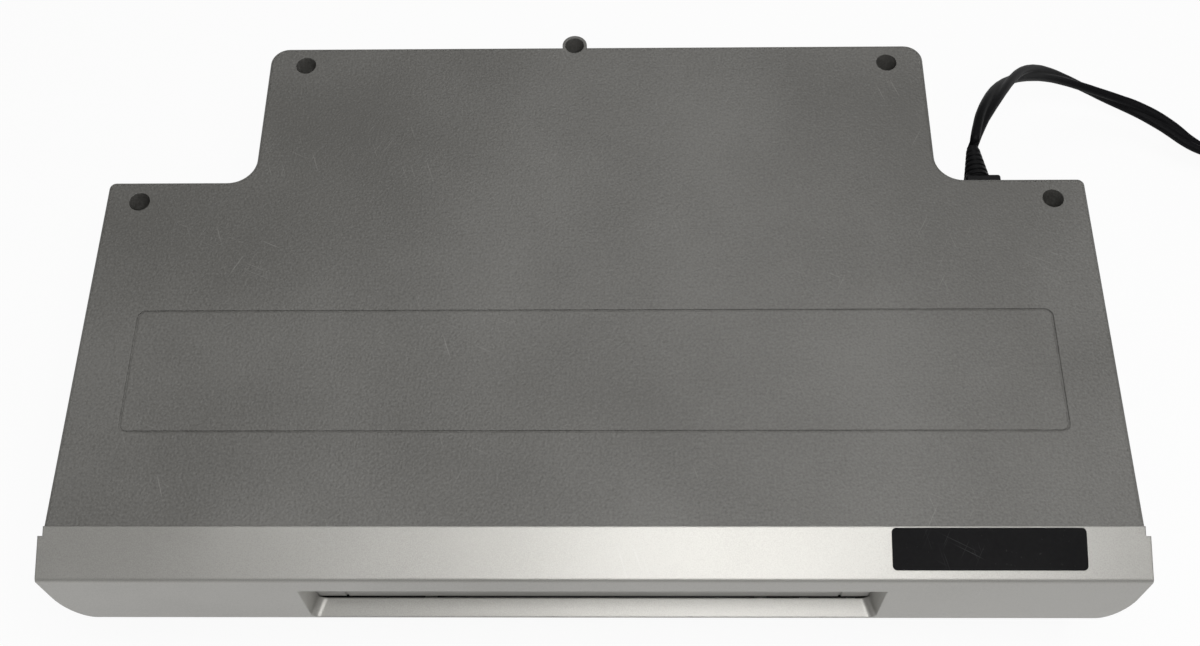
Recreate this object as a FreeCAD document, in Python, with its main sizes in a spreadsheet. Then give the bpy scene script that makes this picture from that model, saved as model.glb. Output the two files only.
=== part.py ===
"""Video cassette recorder: front-loading, plastic case, flat twin mains cord.

Millimetres. +X is to the right seen from the front, -Y is the front, +Z is up. The origin is on the surface
that the feet stand on, under the middle of the recorder's own box, the cord left out.
"""
import FreeCAD, Part
import Sketcher
import math
import os

from FreeCAD import Placement, Rotation, Vector

DOC = FreeCAD.newDocument("video_cassette_recorder")
SHEET = DOC.addObject("Spreadsheet::Sheet", "Sizes")
NODES = []


class Size:
    """A length or angle: the text of its expression over the sheet, and its value now."""

    def __init__(self, text, value):
        self.text = text
        self.value = float(value)

    def __add__(self, other):
        return Size("(%s + %s)" % (self.text, text_of(other)), self.value + value_of(other))

    def __radd__(self, other):
        return Size("(%s + %s)" % (text_of(other), self.text), value_of(other) + self.value)

    def __sub__(self, other):
        return Size("(%s - %s)" % (self.text, text_of(other)), self.value - value_of(other))

    def __rsub__(self, other):
        return Size("(%s - %s)" % (text_of(other), self.text), value_of(other) - self.value)

    def __mul__(self, other):
        return Size("(%s * %s)" % (self.text, text_of(other)), self.value * value_of(other))

    __rmul__ = __mul__

    def __truediv__(self, other):
        return Size("(%s / %s)" % (self.text, text_of(other)), self.value / value_of(other))

    def __neg__(self):
        return Size("(0 - %s)" % self.text, -self.value)


def text_of(number):
    """The expression text of a size, or a plain number written out."""
    return number.text if isinstance(number, Size) else repr(float(number))


def value_of(number):
    """The present value of a size or a plain number."""
    return number.value if isinstance(number, Size) else float(number)


def values(point):
    """The present place of a point whose numbers may be sizes."""
    return Vector(*[value_of(number) for number in point])


def root_of_squares(a, b):
    """The hypotenuse over two sides, as a size."""
    return Size("sqrt(%s ^ 2 + %s ^ 2)" % (text_of(a), text_of(b)), math.hypot(value_of(a), value_of(b)))


def slope_angle(rise, run):
    """The angle in degrees whose tangent is rise over run, as a size."""
    return Size("atan2(%s; %s)" % (text_of(rise), text_of(run)),
                math.degrees(math.atan2(value_of(rise), value_of(run))))


class Sheet:
    """The driving dimensions: each cell is set once and read back as a size by its alias."""

    def __init__(self):
        self.row = 0

    def set(self, **cells):
        for alias, number in cells.items():
            self.row += 1
            SHEET.set("A%d" % self.row, alias.replace("_", " "))
            SHEET.set("B%d" % self.row, str(number))
            SHEET.setAlias("B%d" % self.row, alias)
            setattr(self, alias, Size("Sizes." + alias, number))


S = Sheet()

# The recorder's own box, from the photograph and the usual width of such a recorder
OVERALL_WIDTH = 360.0
OVERALL_DEPTH = 218.0
OVERALL_HEIGHT = 94.0

# Case and front panel
S.set(overall_width=OVERALL_WIDTH, overall_depth=OVERALL_DEPTH, overall_height=OVERALL_HEIGHT)
S.set(bezel_depth=16.9, bezel_drop=5.55, bezel_overhang=1.6, bezel_wall=2.4, bezel_edge_round=1.6)
S.set(case_wall=2.2, case_split_height=16.0, case_top_round=1.5, floor_height=5.0, floor_thickness=2.4)
S.set(narrow_width=250.2, notch_depth=61.7, rear_boss_reach=5.2)
S.set(notch_fillet_radius=10.0, narrow_corner_radius=7.0, wide_corner_radius=2.5)
S.set(frame_groove_side=18.9, frame_groove_front=33.3, frame_groove_depth=46.8, frame_groove_cut=0.7,
      frame_groove_radius=3.0, frame_groove_sink=0.5)
S.set(rear_well_side=14.0, rear_well_inset=8.5, side_well_side=12.4, side_well_inset=8.7, well_radius=3.8,
      well_wall=1.9, well_sink=18.0, well_floor=2.0, screw_hole_radius=1.7)
S.set(rear_boss_x=8.0, rear_boss_radius=4.7, rear_boss_well_radius=3.6)
S.set(lip_thickness=1.4, lip_height=6.0, running_gap=0.3, seat_gap=0.1)
S.set(fascia_height=37.85, fascia_corner_width=8.8, fascia_corner_height=21.0, under_lip=1.4,
      lower_panel_step=1.0, lower_panel_bottom=6.0, collar_depth=3.0)
S.set(slot_width=193.4, slot_taper=2.4, slot_floor_thickness=2.3, slot_clear_height=25.8, slot_recess=6.3,
      slot_floor_fall=1.6,
      slot_frame_wall=2.0)

HALF_WIDTH = S.overall_width / 2
CASE_HALF = HALF_WIDTH - S.bezel_overhang
NARROW_HALF = S.narrow_width / 2
FRONT = -(S.overall_depth / 2)
SEAM = FRONT + S.bezel_depth
NARROW_REAR = S.overall_depth / 2 - S.rear_boss_reach
WIDE_REAR = NARROW_REAR - S.notch_depth
TOP = S.overall_height
FLOOR_TOP = S.floor_height + S.floor_thickness
FASCIA_BOTTOM = TOP - S.bezel_drop - S.fascia_height


def bind(thing, prop, number):
    """Set a property: by an expression where the number comes from the sheet, else as it is."""
    if isinstance(number, Size):
        thing.setExpression(prop, number.text)
    else:
        parts = prop.split(".")
        if parts[0] != "Placement":
            setattr(thing, prop, number)
            return
        place = thing.Placement
        setattr(place.Base, parts[-1], number)
        thing.Placement = place


def at(thing, x, y, z):
    """Move an object by sizes along x, y and z."""
    for axis, number in (("x", x), ("y", y), ("z", z)):
        place = thing.Placement
        base = place.Base
        setattr(base, axis, value_of(number))
        thing.Placement = Placement(base, place.Rotation)
        if isinstance(number, Size):
            thing.setExpression("Placement.Base." + axis, number.text)
    return thing


def tilt(thing, axis, degrees):
    """Turn an object about one of its own axes through its base point."""
    thing.Placement = Placement(thing.Placement.Base, Rotation(Vector(*axis), value_of(degrees)))
    if isinstance(degrees, Size):
        thing.setExpression("Placement.Rotation.Angle", degrees.text)
    return thing


def box(name, low, high):
    """A block between two corners."""
    block = DOC.addObject("Part::Box", name)
    for prop, a, b in zip(("Length", "Width", "Height"), low, high):
        bind(block, prop, b - a)
    return at(block, *low)


AXES = {"z": (Vector(0, 0, 1), 0), "y": (Vector(1, 0, 0), -90), "x": (Vector(0, 1, 0), 90)}


def rod(name, start, length, radius, along="z"):
    """A cylinder from a start point along +X, +Y or +Z."""
    cylinder = DOC.addObject("Part::Cylinder", name)
    bind(cylinder, "Radius", radius)
    bind(cylinder, "Height", length)
    axis, degrees = AXES[along]
    cylinder.Placement = Placement(Vector(), Rotation(axis, degrees))
    return at(cylinder, *start)


def cone(name, start, length, first, last, along="z"):
    """A cone from a start point, with its first and last radius."""
    thing = DOC.addObject("Part::Cone", name)
    bind(thing, "Radius1", first)
    bind(thing, "Radius2", last)
    bind(thing, "Height", length)
    axis, degrees = AXES[along]
    thing.Placement = Placement(Vector(), Rotation(axis, degrees))
    return at(thing, *start)


def tube(name, start, length, outer, inner, along="z"):
    """A round tube."""
    return cut(name, rod(name + "_outside", start, length, outer, along),
               rod(name + "_bore", start, length, inner, along))


def fuse(name, *shapes):
    """Join shapes into one solid."""
    if len(shapes) == 1:
        return shapes[0]
    joined = DOC.addObject("Part::MultiFuse", name)
    joined.Shapes = list(shapes)
    joined.Refine = True
    return joined


def group(name, *shapes):
    """Separate solids in one node."""
    compound = DOC.addObject("Part::Compound", name)
    compound.Links = list(shapes)
    return compound


def cut(name, base, *tools):
    """Take tools away from a base."""
    result = DOC.addObject("Part::Cut", name)
    result.Base = base
    result.Tool = fuse(name + "_tools", *tools)
    result.Refine = True
    return result


def common(name, first, second):
    """The part that two shapes share."""
    result = DOC.addObject("Part::Common", name)
    result.Base = first
    result.Tool = second
    return result


def edges_where(shape, test):
    """The names of a shape's edges that pass a test on the middle and the direction."""
    names = []
    for index, edge in enumerate(shape.Edges):
        first, last = edge.Vertexes[0].Point, edge.Vertexes[-1].Point
        if test((first + last) / 2, last - first):
            names.append("Edge%d" % (index + 1))
    return names


def near(a, b, reach=0.05):
    """Whether two numbers are within reach of each other."""
    return abs(value_of(a) - value_of(b)) < reach


def upright(direction):
    """Whether a direction runs along z."""
    return direction.Length > 0.01 and abs(direction.z) > 0.999 * direction.Length


def rounded(name, base, radius, test):
    """Fillet the edges of a base object that pass a test."""
    DOC.recompute()
    thing = DOC.addObject("Part::Fillet", name)
    thing.Base = base
    chosen = [int(edge[4:]) for edge in edges_where(base.Shape, test)]
    thing.Edges = [(number, value_of(radius), value_of(radius)) for number in chosen]
    return thing


def node(name, thing):
    """Name a finished sub-part after its node."""
    thing.Label = name
    NODES.append((name, thing))
    return thing


def plane(body, role):
    """One of a body's own planes, by its role."""
    return next(feature for feature in body.Origin.OriginFeatures if feature.Role == role)


def sketch(body, name, role, loops, offset=0.0):
    """A sketch of closed loops of straight lines on an origin plane; every corner is bound to the sheet."""
    drawing = body.newObject("Sketcher::SketchObject", name)
    drawing.AttachmentSupport = [(plane(body, role), "")]
    drawing.MapMode = "FlatFace"
    drawing.AttachmentOffset = Placement(Vector(0, 0, value_of(offset)), Rotation())
    if isinstance(offset, Size):
        drawing.setExpression("AttachmentOffset.Base.z", offset.text)
    first = 0
    for corners in loops:
        count = len(corners)
        points = [Vector(value_of(x), value_of(y), 0) for x, y in corners]
        for index in range(count):
            drawing.addGeometry(Part.LineSegment(points[index], points[(index + 1) % count]), False)
        for index in range(count):
            follower = first + (index + 1) % count
            drawing.addConstraint(Sketcher.Constraint("Coincident", first + index, 2, follower, 1))
        for index, (x, y) in enumerate(corners):
            for kind, number in (("DistanceX", x), ("DistanceY", y)):
                constraint = Sketcher.Constraint(kind, -1, 1, first + index, 1, value_of(number))
                place = drawing.addConstraint(constraint)
                if isinstance(number, Size):
                    drawing.setExpression("Constraints[%d]" % place, number.text)
        first += count
    return drawing


def circles(body, name, centres, radius, offset):
    """A sketch of equal circles on the ground plane, raised by an offset."""
    drawing = body.newObject("Sketcher::SketchObject", name)
    drawing.AttachmentSupport = [(plane(body, "XY_Plane"), "")]
    drawing.MapMode = "FlatFace"
    drawing.AttachmentOffset = Placement(Vector(0, 0, value_of(offset)), Rotation())
    if isinstance(offset, Size):
        drawing.setExpression("AttachmentOffset.Base.z", offset.text)
    for index, (x, y) in enumerate(centres):
        centre = Vector(value_of(x), value_of(y), 0)
        drawing.addGeometry(Part.Circle(centre, Vector(0, 0, 1), value_of(radius)), False)
        for kind, number in (("DistanceX", x), ("DistanceY", y)):
            place = drawing.addConstraint(Sketcher.Constraint(kind, -1, 1, index, 3, value_of(number)))
            drawing.setExpression("Constraints[%d]" % place, text_of(number))
        place = drawing.addConstraint(Sketcher.Constraint("Radius", index, value_of(radius)))
        drawing.setExpression("Constraints[%d]" % place, text_of(radius))
    return drawing


def pad(body, name, drawing, length):
    """Raise a drawing by a length."""
    feature = body.newObject("PartDesign::Pad", name)
    feature.Profile = drawing
    bind(feature, "Length", length)
    return feature


def pocket(body, name, drawing, length, upwards):
    """Cut a sketch's area out of the body, upwards or downwards from the sketch."""
    DOC.recompute()
    before = body.Shape.Volume
    feature = body.newObject("PartDesign::Pocket", name)
    feature.Profile = drawing
    bind(feature, "Length", length)
    feature.Reversed = upwards
    DOC.recompute()
    if body.Shape.Volume >= before:
        raise ValueError("%s cuts nothing" % name)
    return feature


def fillet(body, name, radius, test):
    """Round the edges of a body's tip that pass a test."""
    DOC.recompute()
    tip = body.Tip
    chosen = edges_where(tip.Shape, test)
    if not chosen:
        raise ValueError("%s finds no edge" % name)
    feature = body.newObject("PartDesign::Fillet", name)
    feature.Base = (tip, chosen)
    bind(feature, "Radius", radius)
    DOC.recompute()
    return feature


def outline(inset, front):
    """The case's stepped outline from above, drawn in by an inset, with its front edge at a given Y."""
    side, narrow = CASE_HALF - inset, NARROW_HALF - inset
    shoulder, rear = WIDE_REAR - inset, NARROW_REAR - inset
    return [(-side, front), (side, front), (side, shoulder), (narrow, shoulder),
            (narrow, rear), (-narrow, rear), (-narrow, shoulder), (-side, shoulder)]


def upright_at(x, y, z=None):
    """A test for upright edges at a plan position and its mirror image."""
    def test(middle, direction):
        return (upright(direction) and near(abs(middle.x), x) and near(middle.y, y)
                and (z is None or near(middle.z, z, 0.4)))
    return test


def round_outline(body, name, inset, z=None):
    """Round the upright edges of a stepped outline that is drawn in by an inset."""
    fillet(body, name + "_notch", S.notch_fillet_radius + inset,
           upright_at(NARROW_HALF - inset, WIDE_REAR - inset, z))
    fillet(body, name + "_narrow", S.narrow_corner_radius - inset,
           upright_at(NARROW_HALF - inset, NARROW_REAR - inset, z))


WELLS = [(side * x, y) for x, y in ((NARROW_HALF - S.rear_well_side, NARROW_REAR - S.rear_well_inset),
                                    (CASE_HALF - S.side_well_side,
                                     WIDE_REAR - S.side_well_inset)) for side in (-1, 1)]
REAR_BOSS = (-S.rear_boss_x, S.overall_depth / 2 - S.rear_boss_radius)
WELL_SEAT = TOP - S.well_sink
POST_TOP = WELL_SEAT - S.well_floor - S.seat_gap


def make_top_case():
    """The moulded top case: stepped shell, screw wells, rear screw boss, frame groove."""
    body = DOC.addObject("PartDesign::Body", "TopCaseBody")
    height = TOP - S.case_split_height
    pad(body, "CaseBlock", sketch(body, "CaseOutline", "XY_Plane", [outline(0.0, SEAM)],
                                  S.case_split_height), height)
    round_outline(body, "CaseRound", 0.0)
    fillet(body, "CaseWideCorners", S.wide_corner_radius, upright_at(CASE_HALF, WIDE_REAR))
    fillet(body, "CaseTopEdge", S.case_top_round,
           lambda middle, way: near(middle.z, TOP) and abs(way.z) < 0.01 and middle.y > SEAM.value + 0.5)
    inside = sketch(body, "CaseInside", "XY_Plane", [outline(S.case_wall, SEAM - 1.0)], S.case_split_height)
    pocket(body, "CaseHollow", inside, height - S.case_wall, True)
    middle_height = (S.case_split_height + TOP - S.case_wall) / 2
    round_outline(body, "CaseInsideRound", S.case_wall, middle_height)
    tubes = circles(body, "WellTubes", WELLS, S.well_radius + S.well_wall, WELL_SEAT - S.well_floor)
    pad(body, "WellTubePads", tubes, S.well_sink + S.well_floor - S.case_wall / 2)
    boss = circles(body, "RearBoss", [REAR_BOSS], S.rear_boss_radius, S.case_split_height)
    pad(body, "RearBossPad", boss, height)
    wells = circles(body, "WellBores", WELLS, S.well_radius, WELL_SEAT)
    pocket(body, "WellPockets", wells, S.well_sink + 1.0, True)
    boss_well = circles(body, "RearBossWell", [REAR_BOSS], S.rear_boss_well_radius, WELL_SEAT)
    pocket(body, "RearBossPocket", boss_well, S.well_sink + 1.0, True)
    boss_foot = circles(body, "RearBossFoot", [REAR_BOSS], S.rear_boss_well_radius, S.case_split_height - 1.0)
    pocket(body, "RearBossFootPocket", boss_foot, WELL_SEAT - S.well_floor - S.case_split_height + 1.0, True)
    holes = circles(body, "ScrewHoles", WELLS + [REAR_BOSS], S.screw_hole_radius,
                    WELL_SEAT - S.well_floor - 1.0)
    pocket(body, "ScrewHolePockets", holes, S.well_floor + 2.0, True)
    half = CASE_HALF - S.frame_groove_side
    near_edge = SEAM + S.frame_groove_front
    far_edge = near_edge + S.frame_groove_depth
    outer = [(-half, near_edge), (half, near_edge), (half, far_edge), (-half, far_edge)]
    slim, low, high = half - S.frame_groove_cut, near_edge + S.frame_groove_cut, far_edge - S.frame_groove_cut
    inner = [(-slim, low), (slim, low), (slim, high), (-slim, high)]
    groove = sketch(body, "FrameGroove", "XY_Plane", [outer, inner], TOP - S.frame_groove_sink)
    pocket(body, "FrameGrooveCut", groove, S.frame_groove_sink + 1.0, True)
    sunk = TOP - S.frame_groove_sink / 2
    fillet(body, "FrameGrooveOuter", S.frame_groove_radius,
           lambda middle, way: upright(way) and near(middle.z, sunk) and near(abs(middle.x), half))
    fillet(body, "FrameGrooveInner", S.frame_groove_radius - S.frame_groove_cut,
           lambda middle, way: upright(way) and near(middle.z, sunk) and near(abs(middle.x), slim))
    return body




S.set(post_radius=4.8, pilot_depth=14.0, screw_shank_radius=1.4, screw_shank=12.0, screw_head_radius=3.1,
      screw_head_height=2.2, screw_cross_width=0.9, screw_cross_length=4.0, screw_cross_sink=1.2,
      small_head_radius=2.6, small_head_height=1.6, small_shank=6.0, thread_gap=0.05)
S.set(deck_half=112.0, deck_front=-82.0, deck_rear=86.0, deck_bottom=28.0, deck_thickness=1.5,
      deck_post_x=106.0, deck_post_inset=7.0, deck_post_radius=4.0)
S.set(board_bottom=12.0, board_thickness=1.6, board_side=7.4, board_front_gap=14.1,
      board_shoulder_gap=16.1,
      board_narrow_side=7.1, board_rear_gap=5.3, board_post_radius=3.0, board_post_side=34.4,
      board_post_front=-60.0,
      board_post_rear=15.0, board_tail_x=60.0, board_tail_y=90.0)
S.set(hatch_half=90.0, hatch_front=-62.0, hatch_rear=58.0, hatch_lap=7.0, hatch_plate=1.0,
      vent_width=3.0, vent_length=40.0, vent_pitch=7.0, vent_inner_x=116.0, vent_front=-38.0)
S.set(chassis_sill=9.0)
S.set(foot_radius=8.0, front_foot_side=28.4, front_foot_inset=18.0, rear_foot_side=21.1, rear_foot_inset=22.0)

PILOT_RADIUS = S.screw_shank_radius + S.thread_gap
CHASSIS_RIM = S.case_split_height - S.seat_gap
LIP_OUT = S.case_wall + S.running_gap
LIP_IN = LIP_OUT + S.lip_thickness
DECK_TOP = S.deck_bottom + S.deck_thickness
BOARD_TOP = S.board_bottom + S.board_thickness
DECK_POSTS = [(side * S.deck_post_x, y) for side in (-1, 1)
              for y in (S.deck_front + S.deck_post_inset, S.deck_rear - S.deck_post_inset)]
BOARD_POSTS = [(side * x, y) for side in (-1, 1)
               for x, y in ((CASE_HALF - S.board_post_side, S.board_post_front),
                            (CASE_HALF - S.board_post_side, S.board_post_rear),
                            (S.board_tail_x, S.board_tail_y))]
HATCH_SCREWS = [(side * (S.hatch_half + S.hatch_lap / 2), y) for side in (-1, 1)
                for y in (S.hatch_front + S.hatch_lap, S.hatch_rear - S.hatch_lap)]
FEET = [(side * x, y) for side in (-1, 1)
        for x, y in ((CASE_HALF - S.front_foot_side, SEAM + S.front_foot_inset),
                     (NARROW_HALF - S.rear_foot_side, NARROW_REAR - S.rear_foot_inset))]


def rectangle(low, high):
    """The four corners of a rectangle."""
    return [(low[0], low[1]), (high[0], low[1]), (high[0], high[1]), (low[0], high[1])]


S.set(socket_gap=0.15, jack_side=29.9, jack_opening_width=25.6, jack_opening_top=72.0,
      jack_opening_bottom=10.0)
JACK_X = S.jack_side - CASE_HALF
JACK_LOW = JACK_X - S.jack_opening_width / 2
JACK_HIGH = JACK_X + S.jack_opening_width / 2


def jack_window(name, gap):
    """The block that clears the rear jack plate from the notch wall."""
    return box(name, (JACK_LOW - gap, WIDE_REAR - LIP_IN - 1.0, S.jack_opening_bottom - gap),
               (JACK_HIGH + gap, WIDE_REAR + 1.0, S.jack_opening_top + gap))


def make_bottom_chassis():
    """The moulded chassis tray: floor, rim and lip, posts for the case screws, deck and board."""
    body = DOC.addObject("PartDesign::Body", "ChassisBody")
    pad(body, "ChassisBlock", sketch(body, "ChassisOutline", "XY_Plane", [outline(0.0, SEAM)],
                                     S.floor_height),
        CHASSIS_RIM - S.floor_height)
    round_outline(body, "ChassisRound", 0.0)
    fillet(body, "ChassisWideCorners", S.wide_corner_radius, upright_at(CASE_HALF, WIDE_REAR))
    front_in = SEAM + S.lip_thickness
    hollow = sketch(body, "ChassisInside", "XY_Plane", [outline(LIP_IN, front_in)], FLOOR_TOP)
    pocket(body, "ChassisHollow", hollow, CHASSIS_RIM - FLOOR_TOP + 1.0, True)
    lip = sketch(body, "ChassisLip", "XY_Plane", [outline(LIP_OUT, SEAM), outline(LIP_IN, front_in)],
                 CHASSIS_RIM)
    pad(body, "ChassisLipPad", lip, S.lip_height)
    round_outline(body, "ChassisLipRound", LIP_OUT, CHASSIS_RIM + S.lip_height / 2)
    boss_gap = circles(body, "LipGap", [REAR_BOSS], S.rear_boss_radius + S.running_gap, CHASSIS_RIM)
    pocket(body, "LipGapPocket", boss_gap, S.lip_height + 1.0, True)
    boss = circles(body, "RearEar", [REAR_BOSS], S.rear_boss_radius, S.floor_height)
    pad(body, "RearEarPad", boss, CHASSIS_RIM - S.floor_height)
    ear_post = circles(body, "RearPost", [REAR_BOSS], S.rear_boss_well_radius - S.running_gap, S.floor_height)
    pad(body, "RearPostPad", ear_post, POST_TOP - S.floor_height)
    posts = circles(body, "CasePosts", WELLS, S.post_radius, S.floor_height)
    pad(body, "CasePostPads", posts, POST_TOP - S.floor_height)
    decks = circles(body, "DeckPosts", DECK_POSTS, S.deck_post_radius, S.floor_height)
    pad(body, "DeckPostPads", decks, S.deck_bottom - S.floor_height)
    boards = circles(body, "BoardPosts", BOARD_POSTS, S.board_post_radius, S.floor_height)
    pad(body, "BoardPostPads", boards, S.board_bottom - S.floor_height)
    for name, centres, top in (("Case", WELLS + [REAR_BOSS], POST_TOP), ("Deck", DECK_POSTS, S.deck_bottom)):
        pilots = circles(body, name + "Pilots", centres, PILOT_RADIUS, top)
        pocket(body, name + "PilotPockets", pilots, S.pilot_depth, False)
    small = circles(body, "BoardPilots", BOARD_POSTS, PILOT_RADIUS, S.board_bottom)
    pocket(body, "BoardPilotPockets", small, S.small_shank, False)
    hatch = sketch(body, "Hatch", "XY_Plane", [rectangle((-S.hatch_half, S.hatch_front),
                                                         (S.hatch_half, S.hatch_rear))], S.floor_height - 1.0)
    pocket(body, "HatchPocket", hatch, S.floor_thickness + 2.0, True)
    hatch_pilots = circles(body, "HatchPilots", HATCH_SCREWS, PILOT_RADIUS, S.floor_height - 1.0)
    pocket(body, "HatchPilotPockets", hatch_pilots, S.floor_thickness + 2.0, True)
    slots = []
    for side in (-1, 1):
        for count in range(6):
            inner = side * (S.vent_inner_x + S.vent_pitch * count - S.vent_width / 2)
            outer = side * (S.vent_inner_x + S.vent_pitch * count + S.vent_width / 2)
            slots.append(rectangle((inner, S.vent_front), (outer, S.vent_front + S.vent_length)))
    vents = sketch(body, "Vents", "XY_Plane", slots, S.floor_height - 1.0)
    pocket(body, "VentPocket", vents, S.floor_thickness + 2.0, True)
    return body


def chassis_front():
    """The block that keeps the tray's front edge low, behind the front panel."""
    reach = CASE_HALF - LIP_IN
    return box("ChassisFront", (-reach, SEAM - 1.0, S.chassis_sill),
               (reach, SEAM + S.lip_thickness, S.overall_height))


def make_screws():
    """Case screws deep in their wells, and the small screws of the hatch plate, deck and board."""
    case = []
    for count, (x, y) in enumerate(WELLS + [REAR_BOSS]):
        name = "CaseScrew%d" % count
        head = rod(name + "Head", (x, y, WELL_SEAT), S.screw_head_height, S.screw_head_radius)
        shank = rod(name + "Shank", (x, y, WELL_SEAT - S.screw_shank),
                    S.screw_shank + S.screw_head_height / 2,
                    S.screw_shank_radius)
        half, slim = S.screw_cross_length / 2, S.screw_cross_width / 2
        low = WELL_SEAT + S.screw_head_height - S.screw_cross_sink
        high = WELL_SEAT + S.screw_head_height + 1.0
        bars = [box(name + "Bar", (x - a, y - b, low), (x + a, y + b, high)) for a,
                b in ((half, slim), (slim, half))]
        case.append(cut(name, fuse(name + "Body", head, shank), *bars))
    small = []
    plate_bottom = S.floor_height - S.hatch_plate
    for count, (x, y) in enumerate(HATCH_SCREWS):
        name = "HatchScrew%d" % count
        head = rod(name + "Head", (x, y, plate_bottom - S.small_head_height), S.small_head_height,
                   S.small_head_radius)
        shank = rod(name + "Shank", (x, y, plate_bottom - S.small_head_height / 2),
                    S.hatch_plate + S.floor_thickness + S.small_head_height / 2, S.screw_shank_radius)
        small.append(fuse(name, head, shank))
    for kind, centres, top, through in (("DeckScrew", DECK_POSTS, DECK_TOP, S.deck_thickness),
                                        ("BoardScrew", BOARD_POSTS, BOARD_TOP, S.board_thickness)):
        for count, (x, y) in enumerate(centres):
            name = "%s%d" % (kind, count)
            head = rod(name + "Head", (x, y, top), S.small_head_height, S.small_head_radius)
            shank = rod(name + "Shank", (x, y, top - through - S.small_shank + 0.5),
                        through + S.small_shank, S.screw_shank_radius)
            small.append(fuse(name, head, shank))
    return group("CaseScrews", *case), group("SmallScrews", *small)


def make_hatch():
    """The pressed plate that closes the hole in the underside."""
    low = (-S.hatch_half - S.hatch_lap, S.hatch_front - S.hatch_lap / 2, S.floor_height - S.hatch_plate)
    high = (S.hatch_half + S.hatch_lap, S.hatch_rear + S.hatch_lap / 2, S.floor_height)
    holes = [rod("HatchHole%d" % count, (x, y, S.floor_height - S.hatch_plate - 1.0), S.hatch_plate + 2.0,
                 PILOT_RADIUS) for count, (x, y) in enumerate(HATCH_SCREWS)]
    for count in range(7):
        x = (count - 3) * S.vent_pitch * 2
        holes.append(box("HatchVent%d" % count, (x - S.vent_width / 2, S.hatch_front + 15.0, low[2] - 1.0),
                         (x + S.vent_width / 2, S.hatch_front + 15.0 + S.vent_length, high[2] + 1.0)))
    return cut("HatchPlate", box("HatchSheet", low, high), *holes)


def make_feet():
    """Four rubber feet under the corners."""
    feet = [rod("Foot%d" % count, (x, y, 0.0), S.floor_height, S.foot_radius)
            for count, (x, y) in enumerate(FEET)]
    return rounded("Feet", group("FootBlocks", *feet), 1.0,
                   lambda middle, way: near(middle.z, 0.0) and abs(way.z) < 0.01)


PANEL_RUN = S.bezel_depth - S.under_lip - S.lower_panel_step
PANEL_RISE = FASCIA_BOTTOM - S.lower_panel_bottom
PANEL_LENGTH = root_of_squares(PANEL_RISE, PANEL_RUN)
PANEL_TILT = slope_angle(PANEL_RUN, PANEL_RISE)
PANEL_FOOT = (0.0, SEAM - S.lower_panel_step, S.lower_panel_bottom)
LOWER_HALF = HALF_WIDTH - S.fascia_corner_width
SLOT_HALF = S.slot_width / 2
SLOT_BACK_HALF = SLOT_HALF - S.slot_taper
SLOT_FLOOR = FASCIA_BOTTOM + S.slot_floor_thickness
SLOT_TOP = SLOT_FLOOR + S.slot_clear_height
SLOT_BACK = FRONT + S.slot_recess

S.set(door_thickness=2.0, door_gap=0.5, door_lap=0.4, door_foot_gap=0.4, door_knuckle_radius=1.5,
      door_hinge_rise=2.6, door_pin_radius=1.2, door_pin_gap=0.05, door_ear=2.6, door_ear_reach=2.6,
      door_groove_x=84.5, door_groove_width=1.0, door_groove_sink=0.5)
DOOR_FRONT = SLOT_BACK + S.door_gap
DOOR_AXIS_Y = DOOR_FRONT + S.door_thickness - 0.6
DOOR_AXIS_Z = SLOT_TOP + S.door_hinge_rise
DOOR_HALF = SLOT_BACK_HALF + S.door_lap
EAR_IN = DOOR_HALF + 0.4
EAR_OUT = EAR_IN + S.door_ear

S.set(window_width=110.0, window_height=21.0, window_low=17.5, window_thickness=1.8, window_gap=0.2,
      display_inset=3.0, display_gap=1.8, display_sill=0.5, display_head=1.5)
S.set(cap_width=13.0, cap_height=8.0, cap_low=12.0, cap_proud=1.2, cap_gap=0.3, cap_flange=1.2,
      cap_margin=1.0,
      cap_round=0.7, button_travel=0.8, stem_width=3.0, key_pitch=17.0, first_key_side=104.0,
      power_key_side=68.0,
      channel_key_height=7.0, channel_up_low=17.0, channel_down_low=7.0)
S.set(front_board_side=13.0, front_board_low=4.0, front_board_high=23.5, front_board_gap=11.0,
      switch_width=6.0, switch_depth=3.5, plunger_radius=1.6, plunger_reach=0.9, key_slack=1.1)
S.set(front_jack_side=30.0, front_jack_pitch=14.0, front_jack_height=15.0, front_jack_radius=4.2,
      front_jack_bore=1.9, front_jack_bore_depth=8.0, front_jack_block=11.0, front_jack_proud=1.0)
S.set(panel_boss_radius=2.2, panel_boss_height=6.8, panel_boss_left_side=55.0,
      panel_boss_right_side=44.5, panel_boss_beside=6.0)

FIRST_KEY_X = HALF_WIDTH - S.first_key_side
KEYS = [("button_power", S.power_key_side - HALF_WIDTH, S.cap_low, S.cap_height)]
for number, key in enumerate(("eject", "rewind", "play", "forward", "record")):
    KEYS.append(("button_" + key, FIRST_KEY_X + S.key_pitch * number, S.cap_low, S.cap_height))
KEYS.append(("button_channel_up", FIRST_KEY_X + S.key_pitch * 5, S.channel_up_low, S.channel_key_height))
KEYS.append(("button_channel_down", FIRST_KEY_X + S.key_pitch * 5, S.channel_down_low, S.channel_key_height))
BOSS_BESIDE = S.window_width / 2 + S.panel_boss_beside
PANEL_BOSSES = (S.panel_boss_left_side - HALF_WIDTH, -BOSS_BESIDE, BOSS_BESIDE,
                HALF_WIDTH - S.panel_boss_right_side)
FRONT_JACKS = [S.front_jack_side - HALF_WIDTH + S.front_jack_pitch * count for count in range(2)]


def on_panel(thing):
    """Lay an object that is drawn upright behind y = 0 on the leaning lower panel."""
    laid = group(thing.Name + "Laid", thing)
    return at(tilt(laid, (1, 0, 0), PANEL_TILT), *PANEL_FOOT)


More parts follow.
